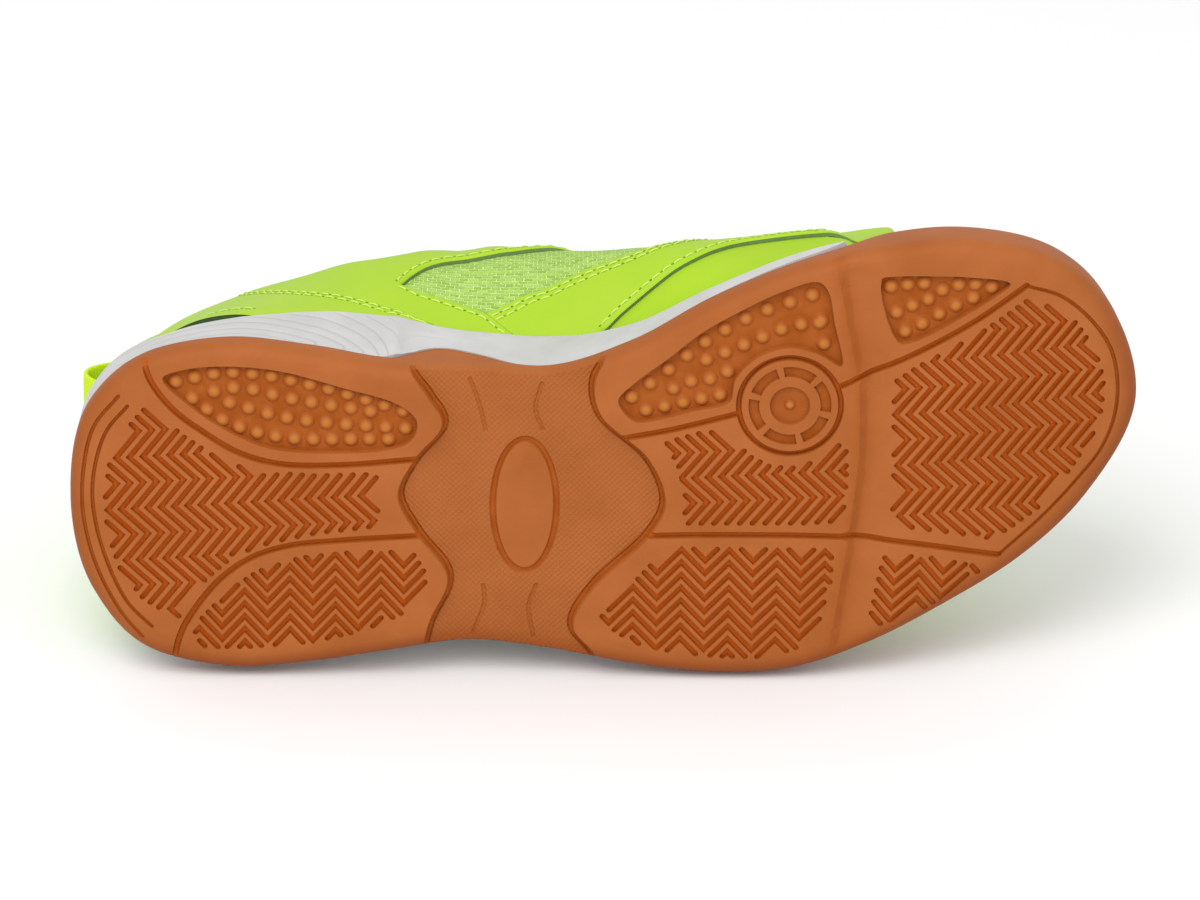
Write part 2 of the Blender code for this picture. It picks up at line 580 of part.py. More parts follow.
# The last: ribs that run from the feather line up to the rim of collar and throat
def last_ribs():
    flat = EDGE - OUT * feather[:, None]
    foot = np.column_stack([flat, TOP + GAP])
    rim_x = along(UPPER_RIBS, RIM_X, SHARE)
    side = np.where(LATERAL, 1.0, -1.0)
    rim_y = axis_y(rim_x) + side * np.clip(along(UPPER_RIBS, RIM_HALF, SHARE), 0.0, None)
    tall = HEEL_HEIGHT + (INSTEP_HEIGHT - HEEL_HEIGHT) * smooth(*INSTEP_SHARES, SHARE)
    rim_z = along(UPPER_RIBS, RIM_Z, SHARE) * tall
    rim = np.column_stack([rim_x, rim_y, rim_z])
    foot[:, 2] += spring(foot[:, 0])
    size = np.linalg.norm(rim - foot, axis=1)[:, None]
    lean = np.radians(sided(UPPER_RIBS, LEAN_MEDIAL, LEAN_LATERAL, SHARE))[:, None]
    arrive = np.radians(along(UPPER_RIBS, ARRIVE, SHARE))[:, None]
    calm = sum(np.roll(OUT, k, axis=0) for k in range(-RIB_CALM, RIB_CALM + 1))
    calm /= np.linalg.norm(calm, axis=1)[:, None]
    out = np.column_stack([calm, np.zeros(COUNT)])
    up = np.array([0.0, 0.0, 1.0])
    leave = foot + size * RIB_FOOT_PULL * (np.cos(lean) * up + np.sin(lean) * out)
    reach_rim = rim + size * RIB_RIM_PULL * (np.sin(arrive) * out - np.cos(arrive) * up)
    return foot, leave, reach_rim, rim


RIBS = last_ribs()
RIM_THICK = along(UPPER_RIBS, RIM_WALL, SHARE)


def on_last(place, height):
    """Points of the upper's outer face; place runs round the shoe, height from sole to rim."""
    at = np.mod(np.asarray(place, float), 2.0) * FINE
    low = np.floor(at).astype(int) % COUNT
    part = (at - np.floor(at))[..., None]
    knots = [k[low] * (1 - part) + k[(low + 1) % COUNT] * part for k in RIBS]
    v = np.asarray(height, float)[..., None]
    w = 1 - v
    return w**3 * knots[0] + 3 * w * w * v * knots[1] + 3 * w * v * v * knots[2] + v**3 * knots[3]


def out_of_last(place, height):
    """Outward unit normals of the upper's outer face."""
    place, height = np.broadcast_arrays(np.asarray(place, float), np.asarray(height, float))
    high = np.clip(height + 0.01, 0.0, 1.0)
    deep = np.clip(height - 0.01, 0.0, 1.0)
    round_way = on_last(place + 0.004, height) - on_last(place - 0.004, height)
    up_way = on_last(place, high) - on_last(place, deep)
    normal = np.cross(round_way, up_way)
    return normal / np.linalg.norm(normal, axis=-1)[..., None]


# Upper: one wall over the last, open at collar, throat and sole, thicker at the padded collar
places = PLACE[COARSE]
outer_rows, inner_rows = [], []
for level in UPPER_LEVELS:
    heights = np.full(len(places), level)
    face = on_last(places, heights)
    normal = out_of_last(places, heights)
    if level == 0.0:
        normal = np.column_stack([OUT[COARSE], np.zeros(len(places))])
    thick = WALL + (RIM_THICK[COARSE] - WALL) * smooth(*PADDED, level)
    outer_rows.append(face)
    inner_rows.append(face - normal * thick[:, None])
crest = (outer_rows[-1] + inner_rows[-1]) / 2
crest = crest + (outer_rows[-1] - outer_rows[-2]) * (CREST_RISE * RIM_THICK[COARSE])[:, None]
loops = outer_rows + [crest] + inner_rows[::-1]
upper = solid("upper", np.vstack(loops), bands(len(loops), len(places), True), "neon_mesh")


# Overlays: panels cut from a layer that lies on the upper, each by its outline seen from the side
def layer():
    inner, outer = [], []
    for level in UPPER_LEVELS:
        heights = np.full(len(places), level)
        normal = out_of_last(places, heights)
        if level == 0.0:
            normal = np.column_stack([OUT[COARSE], np.zeros(len(places))])
        face = on_last(places, heights)
        inner.append(face + normal * GAP)
        outer.append(face + normal * (GAP + OVERLAY))
    loops = inner + outer[::-1]
    return solid("layer", np.vstack(loops), bands(len(loops), len(places), True), "neon_synthetic")


def panel(name, outline, near, far):
    """The layer inside an outline that is drawn from the side, between two distances."""
    flat = np.asarray(outline, float)
    size = len(flat)
    sides = [np.column_stack([flat[:, 0], np.broadcast_to(y, size), flat[:, 1]]) for y in (near, far)]
    faces = bands(2, size, False) + [tuple(range(size)), tuple(range(size, 2 * size))]
    piece = layer()
    combine(piece, solid("cutter", np.vstack(sides), faces, None), "INTERSECT")
    piece.name = name
    return piece


panel("heel_counter", HEEL_COUNTER, -WIDE, WIDE)
quarter = np.vstack([QUARTER_BACK, QUARTER_TOP, QUARTER_FRONT])
saddle = np.vstack([SADDLE_REAR, SADDLE_FRONT, SADDLE_HOLLOW])
for side, sign in (("medial", -1.0), ("lateral", 1.0)):
    for part_name, outline in (("quarter_", quarter), ("saddle_", saddle)):
        panel(part_name + side, outline, axis_y(outline[:, 0]) + sign * SIDE_CLEAR, sign * WIDE)


# Tongue: a padded tab under the throat, crowned across and standing free at its top
def tongue_grid():
    rows = curve(np.asarray(TONGUE_SECTIONS, float), 8)
    rows = resample(rows, TONGUE_ROWS)
    t = np.linspace(-1.0, 1.0, TONGUE_COLUMNS + 1)[None, :]
    x = rows[:, 0:1] + 0 * t
    y = axis_y(x) + rows[:, 2:3] * t
    z = rows[:, 1:2] - rows[:, 3:4] * t**2
    face = np.stack([x, y, z], axis=-1)
    normal = np.cross(np.gradient(face, axis=0), np.gradient(face, axis=1))
    normal /= np.linalg.norm(normal, axis=-1)[..., None]
    normal *= np.sign(normal[..., 2:3])
    thin = TONGUE_EDGE + (1 - TONGUE_EDGE) * np.sqrt(np.clip(1 - t**2, 0.0, 1.0))
    return face, face - normal * (TONGUE_THICK * thin)[..., None]


sheet("tongue", *tongue_grid(), "neon_mesh")


# Lace: flat crossings over the throat, joined where they cross and at the eyelets
def crossing(start, end, slope):
    t = np.linspace(-LACE_OVERRUN, 1 + LACE_OVERRUN, LACE_STEPS + 1)[:, None]
    line = start * (1 - t) + end * t
    line[:, 2] += LACE_CROWN * 4 * (t * (1 - t))[:, 0]
    run = np.gradient(line, axis=0)
    run /= np.linalg.norm(run, axis=1)[:, None]
    side = slope - run * (run @ slope)[:, None]
    side /= np.linalg.norm(side, axis=1)[:, None]
    up = np.cross(side, run)
    up /= np.linalg.norm(up, axis=1)[:, None]
    half, deep = side * LACE_WIDTH / 2, up * LACE_THICK / 2
    grid = [np.stack([line - half + s * deep, line + half + s * deep], axis=1) for s in (1, -1)]
    return sheet("lace", grid[0], grid[1], "neon_webbing")


def eyelet(share, sign):
    place = np.array(sign * share)
    height = np.array(LACE_HEIGHT)
    return on_last(place, height) + out_of_last(place, height) * (LACE_THICK / 2 + LACE_STAND)


pairs = [(eyelet(share, 1.0), eyelet(share, -1.0)) for share in LACE_SHARES]
instep = (sum(pairs[0]) - sum(pairs[-1])) / 2
instep /= np.linalg.norm(instep)
lace = crossing(*pairs[-1], instep)
for upper_pair, lower_pair in zip(pairs[:-1], pairs[1:]):
    combine(lace, crossing(lower_pair[0], upper_pair[1], instep), "UNION")
    combine(lace, crossing(lower_pair[1], upper_pair[0], instep), "UNION")
lace.name = "lace"

# Pull loop: a webbing band that stands off the back of the collar
heights = np.linspace(LOOP_SPAN[0], LOOP_SPAN[3], LOOP_STEPS + 1)
raised = np.clip((heights - LOOP_SPAN[1]) / (LOOP_SPAN[2] - LOOP_SPAN[1]), 0.0, 1.0)
stand = np.sin(np.pi * raised) ** LOOP_ROUND
back = on_last(np.zeros(len(heights)), heights)
off = out_of_last(np.zeros(len(heights)), heights)
off[:, 1] = 0.0
under = back + off * (GAP + OVERLAY + GAP + LOOP_STAND * stand)[:, None]
over = under + off * LOOP_THICK
spread = np.array([[0.0, -LOOP_WIDTH / 2, 0.0], [0.0, LOOP_WIDTH / 2, 0.0]])
sheet("pull_loop", over[:, None, :] + spread[None], under[:, None, :] + spread[None], "neon_webbing")


# Laying the shoe down on its lateral side, on the sole's edge and the upper
def balance(objects):
    """Centre of mass from the pieces' volumes and the weight of their materials."""
    total, moment = 0.0, Vector()
    for obj in objects:
        weight = FINISHES[obj.data.materials[0].name][2]
        bm = bmesh.new()
        bm.from_mesh(obj.data)
        bmesh.ops.triangulate(bm, faces=bm.faces)
        for face in bm.faces:
            a, b, c = (v.co for v in face.verts)
            share = a.dot(b.cross(c)) / 6 * weight
            total += share
            moment += (a + b + c) / 4 * share
        bm.free()
    return moment / total


def resting_side(objects, centre):
    """Normal of the hull face on the lateral side that carries the centre of mass."""
    bm = bmesh.new()
    for obj in objects:
        for vertex in obj.data.vertices:
            bm.verts.new(vertex.co)
    bmesh.ops.convex_hull(bm, input=bm.verts)
    best = None
    for face in bm.faces:
        if face.normal.y < 0.7:
            continue
        corners = [v.co for v in face.verts]
        inside = True
        for i, a in enumerate(corners):
            edge = corners[(i + 1) % len(corners)] - a
            inside = inside and edge.cross(centre - a).dot(face.normal) > 0
        if inside:
            best = face.normal.copy()
    bm.free()
    return best


pieces = [obj for obj in bpy.data.objects if obj.type == "MESH"]
down = resting_side(pieces, balance(pieces))
forward = Vector((1.0, 0.0, 0.0))
forward = (forward - down * forward.dot(down)).normalized()
turn = Matrix((forward, (-down).cross(forward), -down))
corners = [turn @ v.co for obj in pieces for v in obj.data.vertices]
low = Vector([min(c[k] for c in corners) for k in range(3)])
high = Vector([max(c[k] for c in corners) for k in range(3)])
carrier = bpy.data.objects.new("court_shoe", None)
bpy.context.scene.collection.objects.link(carrier)
carrier.rotation_mode = "QUATERNION"
carrier.rotation_quaternion = turn.to_quaternion()
carrier.location = (-(low.x + high.x) / 2, -(low.y + high.y) / 2, -low.z)
for obj in pieces:
    obj.parent = carrier
bpy.context.view_layer.update()
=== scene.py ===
"""Indoor court shoe for the left foot, lying on its outer side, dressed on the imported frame.

Sizes are millimetres in the shoe's own frame: x from heel to toe, y towards the outer side and
z up from the tread. Each piece is worked out there and then placed in the row frame.
"""
import json
import math

import bmesh
import bpy
import numpy as np
from mathutils import Matrix, Vector
from mathutils.geometry import delaunay_2d_cdt


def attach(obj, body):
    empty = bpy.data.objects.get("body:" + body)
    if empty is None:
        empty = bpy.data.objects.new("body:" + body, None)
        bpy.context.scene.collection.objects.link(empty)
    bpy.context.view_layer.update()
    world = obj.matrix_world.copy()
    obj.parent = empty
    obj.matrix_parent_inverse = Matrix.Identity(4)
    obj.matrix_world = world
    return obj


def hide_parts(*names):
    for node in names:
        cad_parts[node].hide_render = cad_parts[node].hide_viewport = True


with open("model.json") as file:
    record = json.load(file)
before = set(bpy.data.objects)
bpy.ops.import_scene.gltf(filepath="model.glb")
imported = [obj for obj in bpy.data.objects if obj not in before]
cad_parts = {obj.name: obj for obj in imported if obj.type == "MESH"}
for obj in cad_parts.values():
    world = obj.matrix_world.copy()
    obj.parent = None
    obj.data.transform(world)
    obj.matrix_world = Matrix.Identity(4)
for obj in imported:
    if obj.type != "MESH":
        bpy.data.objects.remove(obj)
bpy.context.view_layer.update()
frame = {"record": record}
bpy.ops.object.select_all(action="DESELECT")


# Outsole: one slab of gum rubber, pressed in a mould with its tread. Its rim grips the midsole
# and climbs the toe as a bumper. Tread pads, dot pockets, the pivot circle and the herringbone
# are all cut into the same rubber.
MM = 0.001
mounts = {mount["name"]: mount for mount in frame["record"]["mounts"]}
heel_spot = Vector(mounts["heel_tread"]["pos_m"])
ball_spot = Vector(mounts["forefoot_tread"]["pos_m"])
HEEL_SPOT = np.array([45.0, -4.0, 0.0])
shoe_z = -Vector(mounts["heel_tread"]["axis"]).normalized()
shoe_x = (ball_spot - heel_spot).normalized()
shoe_y = shoe_z.cross(shoe_x)
SHOE_AXES = np.array([shoe_x, shoe_y, shoe_z])


def in_row(points):
    """Points in the shoe's millimetres, as metres in the row frame."""
    return np.array(heel_spot) + (np.asarray(points, float) - HEEL_SPOT) * MM @ SHOE_AXES


def unit(vectors):
    return vectors / np.linalg.norm(vectors, axis=-1, keepdims=True)


def cubic(t, first, second, leave, arrive):
    """The way from one value to another, with a given slope at each end."""
    return ((2 * t**3 - 3 * t**2 + 1) * first + (3 * t**2 - 2 * t**3) * second
            + (t**3 - 2 * t**2 + t) * leave + (t**3 - t**2) * arrive)


def curve(points, per=12, closed=False):
    """Smooth curve through the points, as cubic stretches of a fixed number of steps."""
    p = np.asarray(points, float)
    if closed:
        q = np.vstack([p[-1:], p, p[:2]])
    else:
        q = np.vstack([2 * p[:1] - p[1:2], p, 2 * p[-1:] - p[-2:-1]])
    step = np.sqrt(np.linalg.norm(np.diff(q, axis=0), axis=1))
    before, after = step[:-1, None], step[1:, None]
    slope = np.diff(q, axis=0)[:-1] / before * after + np.diff(q, axis=0)[1:] / after * before
    slope = np.vstack([slope[:1], slope / (before + after)])
    t = np.linspace(0.0, 1.0, per, endpoint=False)[:, None]
    stretches = [cubic(t, q[i], q[i + 1], slope[i] * step[i], slope[i + 1] * step[i])
                 for i in range(1, len(q) - 2)]
    if not closed:
        stretches.append(p[-1:])
    return np.vstack(stretches)


def even(points, count):
    """The same curve in equal steps."""
    run = np.r_[0.0, np.cumsum(np.linalg.norm(np.diff(points, axis=0), axis=1))]
    at = np.linspace(0.0, run[-1], count + 1)
    return np.column_stack([np.interp(at, run, points[:, k]) for k in range(points.shape[1])])


def read(table, column, at):
    """A table's column, read smoothly and without overshoot at the given places of its first column."""
    rows = np.asarray(table, float)
    place, value = rows[:, 0], rows[:, column]
    step = np.diff(place)
    rise = np.diff(value) / step
    inner = (rise[:-1] * step[1:] + rise[1:] * step[:-1]) / (step[:-1] + step[1:])
    least = np.minimum(abs(rise[:-1]), abs(rise[1:]))
    inner = np.where(rise[:-1] * rise[1:] > 0.0, np.sign(inner) * np.minimum(abs(inner), 3 * least), 0.0)
    slope = np.r_[rise[0], inner, rise[-1]]
    at = np.asarray(at, float)
    k = np.clip(np.searchsorted(place, at) - 1, 0, len(step) - 1)
    t = np.clip((at - place[k]) / step[k], 0.0, 1.0)
    return cubic(t, value[k], value[k + 1], step[k] * slope[k], step[k] * slope[k + 1])


def ease(low, high, value):
    t = np.clip((np.asarray(value, float) - low) / (high - low), 0.0, 1.0)
    return t * t * (3 - 2 * t)


LENGTH = 215.0
BALL_WIDTH = 86.0
SPRING_START = 150.0
TOE_SPRING = 10.0
STEPS = 390
SOLE_PLAN = (
    # station, medial, lateral
    (0.017, -0.242, 0.236),
    (0.073, -0.360, 0.388),
    (0.149, -0.398, 0.429),
    (0.225, -0.380, 0.413),
    (0.300, -0.348, 0.381),
    (0.375, -0.344, 0.351),
    (0.451, -0.338, 0.370),
    (0.526, -0.403, 0.405),
    (0.600, -0.511, 0.425),
    (0.679, -0.599, 0.415),
    (0.753, -0.650, 0.350),
    (0.828, -0.668, 0.251),
    (0.902, -0.634, 0.135),
    (0.962, -0.534, -0.010),
)
HEEL_POINT = (-0.004, -0.012)
TOE_POINT = (1.007, -0.246)
SOLE_HEIGHTS = (
    # station, rim_medial, rim_lateral, edge_medial, edge_lateral, bed, flare
    (-0.01, 6.4, 6.4, 16.4, 16.4, 11.6, 0.0),
    (0.07, 6.2, 6.2, 16.0, 16.0, 12.0, 0.0),
    (0.12, 6.1, 6.1, 19.0, 18.4, 12.6, 0.2),
    (0.19, 6.0, 6.0, 23.3, 22.0, 13.0, 0.4),
    (0.25, 6.2, 6.0, 27.4, 24.6, 13.0, 2.0),
    (0.30, 6.6, 6.0, 28.3, 25.4, 13.0, 2.6),
    (0.32, 10.4, 6.0, 27.6, 25.0, 13.0, 1.9),
    (0.345, 13.6, 6.0, 25.8, 24.3, 13.0, 1.0),
    (0.38, 10.4, 6.0, 24.2, 23.4, 13.0, 0.4),
    (0.42, 6.4, 6.0, 24.2, 22.6, 12.6, 0.3),
    (0.45, 6.0, 6.0, 24.0, 21.6, 12.2, 0.2),
    (0.49, 6.0, 6.0, 20.0, 19.4, 12.0, 0.1),
    (0.53, 6.0, 6.0, 16.0, 16.4, 11.3, 0.1),
    (0.57, 6.0, 6.0, 13.8, 14.4, 10.5, 0.1),
    (0.62, 6.6, 6.6, 12.8, 13.0, 10.0, 0.1),
    (0.68, 8.0, 8.0, 13.6, 13.2, 9.6, 0.1),
    (0.72, 9.8, 9.8, 14.0, 13.4, 9.5, 0.1),
    (0.77, 17.4, 17.4, 13.6, 13.4, 9.5, 0.1),
    (0.86, 18.0, 18.0, 13.4, 13.4, 9.5, 0.1),
    (1.01, 19.0, 19.0, 13.4, 13.4, 9.5, 0.1),
)
RIM_MEDIAL, RIM_LATERAL, EDGE_MEDIAL, EDGE_LATERAL, BED, FLARE = range(1, 7)

scale = np.array([LENGTH, BALL_WIDTH])
medial_side = [(row[0], row[1]) for row in SOLE_PLAN]
lateral_side = [(row[0], row[2]) for row in reversed(SOLE_PLAN)]
PLAN_STEPS = 24
plan = curve([HEEL_POINT] + medial_side + [TOE_POINT] + lateral_side, PLAN_STEPS, closed=True) * scale
toe_step = PLAN_STEPS * (len(SOLE_PLAN) + 1)
EDGE = np.vstack([even(plan[:toe_step + 1], STEPS)[:-1],
                  even(np.vstack([plan[toe_step:], plan[:1]]), STEPS)[:-1]])
COUNT = len(EDGE)
run = np.roll(EDGE, -1, axis=0) - np.roll(EDGE, 1, axis=0)
OUT = unit(np.column_stack([run[:, 1], -run[:, 0]]))
PLACE = np.arange(COUNT) / STEPS
SHARE = np.where(PLACE <= 1.0, PLACE, 2.0 - PLACE)
LATERAL = PLACE > 1.0
STATION = EDGE[:, 0] / LENGTH


def sided(table, medial, lateral, at):
    return np.where(LATERAL, read(table, lateral, at), read(table, medial, at))


def spring(x):
    """Rise of the toe off the floor."""
    return TOE_SPRING * np.clip((x - SPRING_START) / (LENGTH - SPRING_START), 0.0, None) ** 2


def round_shoe(values, at):
    """Values given round the outline, read at places between its steps."""
    values = np.asarray(values, float)
    if values.ndim == 0:
        return np.full(len(at), float(values))
    low = np.floor(at).astype(int) % COUNT
    part = at - np.floor(at)
    if values.ndim == 2:
        part = part[..., None]
    return values[low] * (1 - part) + values[(low + 1) % COUNT] * part


def ring(at, inset, height):
    """A line round the sole, set in from its outline, at a height."""
    flat = round_shoe(EDGE, at) - round_shoe(OUT, at) * round_shoe(inset, at)[:, None]
    return np.column_stack([flat, round_shoe(height, at)])


RIM = sided(SOLE_HEIGHTS, RIM_MEDIAL, RIM_LATERAL, STATION)
TOP = sided(SOLE_HEIGHTS, EDGE_MEDIAL, EDGE_LATERAL, STATION)
LOW_RIM = 6.0
BUMPER_LEAN = 0.19
BUMPER_STATIONS = (0.55, 0.68)
LEAN_IN = np.clip(RIM - LOW_RIM, 0.0, None) * BUMPER_LEAN * ease(*BUMPER_STATIONS, STATION)
SLAB = 5.0
LIP = 2.3

# The rounded edge of the tread, as height over inset from the outline
TREAD_EDGE = (
    # inset, height
    (0.2, 2.4),
    (0.6, 1.45),
    (1.3, 0.70),
    (2.3, 0.20),
    (3.6, 0.0),
    (6.0, 0.0),
)


def outline_loop(inset):
    return EDGE - OUT * inset


def stroke(line, width, cap=4, sharpest=0.4):
    """Loop round an open line, with mitred corners and round ends."""
    line = np.asarray(line, float)
    step = np.diff(line, axis=0)
    side = unit(np.column_stack([-step[:, 1], step[:, 0]]))
    miter = unit(np.vstack([side[:1], side[:-1] + side[1:], side[-1:]]))
    first = np.vstack([side[:1], side])
    reach = width / 2 / np.clip((miter * first).sum(axis=1), sharpest, 1.0)
    left, right = line + miter * reach[:, None], line - miter * reach[:, None]
    turn = np.linspace(0.0, math.pi, cap + 2)[1:-1]

    def round_end(centre, towards, forward):
        return [centre + width / 2 * (towards * math.cos(a) + forward * math.sin(a)) for a in turn]

    return np.vstack([left, round_end(line[-1], side[-1], unit(step[-1])), right[::-1],
                      round_end(line[0], -side[0], -unit(step[0]))])


def shrink(loop, inset):
    """A closed loop moved inwards."""
    step = np.roll(loop, -1, axis=0) - np.roll(loop, 1, axis=0)
    side = unit(np.column_stack([-step[:, 1], step[:, 0]]))
    area = np.sum(loop[:, 0] * np.roll(loop[:, 1], -1) - np.roll(loop[:, 0], -1) * loop[:, 1])
    return loop + side * (inset if area > 0 else -inset)


def within(points, loop):
    """Which points lie inside a closed loop."""
    inside = np.zeros(len(points), bool)
    low, high = loop.min(axis=0), loop.max(axis=0)
    near = np.flatnonzero(((points >= low) & (points <= high)).all(axis=1))
    if len(near) == 0:
        return inside
    x, y = points[near, 0:1], points[near, 1:2]
    a, b = loop, np.roll(loop, -1, axis=0)
    rise = np.where(b[:, 1] == a[:, 1], 1e-12, b[:, 1] - a[:, 1])
    crosses = (a[:, 1] > y) != (b[:, 1] > y)
    left = x < (b[:, 0] - a[:, 0]) * (y - a[:, 1]) / rise + a[:, 0]
    inside[near] = (crosses & left).sum(axis=1) % 2 == 1
    return inside


def clip(line, zone):
    """The stretches of a zigzag line inside a zone."""
    a, b = zone, np.roll(zone, -1, axis=0)
    stretches, open_run = [], []
    for p, q in zip(line[:-1], line[1:]):
        d, e = q - p, b - a
        cross = d[0] * e[:, 1] - d[1] * e[:, 0]
        cross = np.where(cross == 0, 1e-12, cross)
        t = ((a[:, 0] - p[0]) * e[:, 1] - (a[:, 1] - p[1]) * e[:, 0]) / cross
        u = ((a[:, 0] - p[0]) * d[1] - (a[:, 1] - p[1]) * d[0]) / cross
        cuts = np.sort(t[(t > 0) & (t < 1) & (u >= 0) & (u < 1)])
        stops = np.r_[0.0, cuts, 1.0]
        for start, end in zip(stops[:-1], stops[1:]):
            if not within((p + d * (start + end) / 2)[None], zone)[0]:
                if len(open_run) > 1:
                    stretches.append(np.array(open_run))
                open_run = []
                continue
            if not open_run:
                open_run = [p + d * start]
            open_run.append(p + d * end)
    if len(open_run) > 1:
        stretches.append(np.array(open_run))
    return stretches


# Each cut is its loops at the surface, its loops at the floor, its depth and how much painted shade deepens
# its colour
cuts = []


def cut_along(line, width, wall, deep, deepens):
    cuts.append(([stroke(line, width)], [stroke(line, width - 2 * wall)], deep, deepens))


GROOVE_WIDTH, GROOVE_DEPTH, GROOVE_WALL, GROOVE_TINT = 1.4, 1.1, 0.3, 0.85
GROOVES = {
    "heel_medial": ((13.0, -38.0), (15.8, -27.0), (20.5, -20.4), (26.6, -15.6), (33.8, -11.2), (42.0, -8.9),
                    (54.4, -8.8), (71.0, -10.4)),
    "heel_lateral": ((19.5, 40.0), (21.4, 29.3), (24.7, 23.0), (30.1, 16.2), (36.4, 11.6), (43.8, 9.0),
                     (54.2, 7.7), (72.0, 6.3)),
    "ball_medial": ((110.5, -15.2), (121.3, -17.4), (135.2, -21.2)),
    "ball_front": ((155.3, -27.2), (171.8, -34.9), (182.4, -40.8), (192.6, -47.9)),
    "ball_lateral": ((115.0, 5.8), (131.7, 5.3), (159.3, 5.5), (171.4, 7.0), (188.9, 10.2)),
}
for line in GROOVES.values():
    cut_along(curve(line, 8), GROOVE_WIDTH, GROOVE_WALL, GROOVE_DEPTH, GROOVE_TINT)

FINE_WIDTH, FINE_DEPTH, FINE_WALL, FINE_TINT = 0.85, 0.7, 0.25, 0.7
FINE_LINES = {
    "toe_border": ((192.6, -47.9), (199.7, -45.3), (205.7, -40.2), (210.4, -33.3), (212.2, -25.7),
                   (211.8, -18.2), (209.3, -11.5), (204.9, -5.7), (198.5, 1.4), (188.9, 10.2)),
    "heel_arc_outer": ((9.5, -23.0), (4.4, -16.3), (2.1, -6.3), (2.0, 2.6), (4.5, 13.8), (9.4, 24.0),
                       (13.8, 29.6)),
    "heel_arc_inner": ((11.3, -20.9), (6.9, -15.3), (4.3, -6.4), (4.1, 1.4), (6.4, 12.0), (10.8, 21.9),
                       (15.7, 27.2)),
}
for line in FINE_LINES.values():
    cut_along(curve(line, 8), FINE_WIDTH, FINE_WALL, FINE_DEPTH, FINE_TINT)

# The recessed waist between heel pad and forefoot pad, with its bare oval plate and four creases
WAIST_DEPTH, WAIST_WALL = 1.8, 0.9
HEEL_PAD_FRONT = ((66.0, -50.0), (66.8, -32.0), (72.2, -23.4), (75.0, -17.9), (69.5, -10.4), (66.0, -2.3),
                  (69.8, 6.0), (76.2, 15.5), (72.2, 26.3), (68.0, 50.0))
FOREFOOT_REAR = ((110.0, 50.0), (106.9, 32.7), (102.2, 26.0), (106.0, 18.0), (117.7, 5.7), (120.7, -1.4),
                 (117.2, -10.9), (107.4, -20.2), (106.0, -27.0), (109.0, -34.1), (112.0, -60.0))
waist = np.vstack([curve(HEEL_PAD_FRONT, 8), curve(FOREFOOT_REAR, 8)])
waist_floor = shrink(waist, WAIST_WALL)
cuts.append(([waist], [waist_floor], WAIST_DEPTH, 0.0))
WAIST_LINE, WAIST_LINE_WALL, WAIST_LINE_IN = 1.3, 0.39, 0.8
WAIST_LINE_SUNK, WAIST_LINE_TINT = 0.35, 0.65
waist_foot = shrink(waist, WAIST_LINE_IN)
heel_part = len(curve(HEEL_PAD_FRONT, 8))
for path in (waist_foot[1:heel_part - 1], waist_foot[heel_part + 1:-1]):
    cut_along(path, WAIST_LINE, WAIST_LINE_WALL, WAIST_DEPTH + WAIST_LINE_SUNK, WAIST_LINE_TINT)
OVAL_CENTRE, OVAL_HALF = np.array([91.9, 0.0]), np.array([6.5, 14.4])
OVAL_RING, OVAL_FLOOR, OVAL_DEPTH, OVAL_TINT = 1.5, 0.35, 0.6, 0.6


def oval(grow, steps=56):
    turn = np.linspace(0.0, 2 * math.pi, steps, endpoint=False)
    return OVAL_CENTRE + np.column_stack([np.cos(turn), np.sin(turn)]) * (OVAL_HALF + grow)


cuts.append(([oval(OVAL_RING / 2), oval(-OVAL_RING / 2)], [oval(OVAL_FLOOR), oval(-OVAL_FLOOR)],
             WAIST_DEPTH + OVAL_DEPTH, OVAL_TINT))
CREASE_WIDTH, CREASE_WALL, CREASE_DEPTH, CREASE_TINT = 1.1, 0.4, 0.3, 0.12
CREASES = (
    ((80.6, -27.2), (82.4, -22.3), (83.8, -16.4)),
    ((95.2, -26.4), (93.9, -21.0), (95.4, -16.5)),
    ((83.6, 17.8), (83.8, 21.8), (81.6, 28.0)),
    ((94.4, 17.6), (92.9, 22.2), (93.9, 28.8)),
)
for line in CREASES:
    cut_along(curve(line, 5), CREASE_WIDTH, CREASE_WALL, WAIST_DEPTH + CREASE_DEPTH, CREASE_TINT)

# Dot pockets, with domed studs in rows
POCKET_DEPTH, POCKET_WALL, POCKET_TINT = 1.5, 0.35, 0.5
POCKETS = {
    "heel": ((18.4, -27.0), (23.0, -29.0), (31.0, -29.8), (41.8, -29.0), (54.7, -25.6), (66.5, -21.9),
             (70.0, -18.4), (69.0, -14.5), (64.8, -12.3), (47.2, -11.3), (39.0, -12.4), (30.8, -16.2),
             (24.6, -20.5)),
    "medial": ((110.6, -23.5), (113.8, -27.3), (120.4, -32.6), (127.3, -38.4), (134.9, -43.1), (143.1, -47.3),
               (150.5, -49.6), (152.5, -47.8), (154.1, -40.5), (155.7, -31.6), (151.4, -33.9), (145.4, -35.4),
               (139.0, -33.4), (134.4, -28.6), (133.2, -23.6), (126.0, -21.5), (115.5, -18.9),
               (113.4, -19.4)),
    "front": ((163.2, -50.2), (166.0, -50.8), (174.0, -50.7), (181.4, -50.2), (189.4, -48.5), (186.2, -45.7),
              (179.8, -41.7), (169.4, -36.5), (166.8, -36.8)),
}
for corners in POCKETS.values():
    loop = curve(corners, 5, closed=True)
    cuts.append(([loop], [shrink(loop, POCKET_WALL)], POCKET_DEPTH, POCKET_TINT))
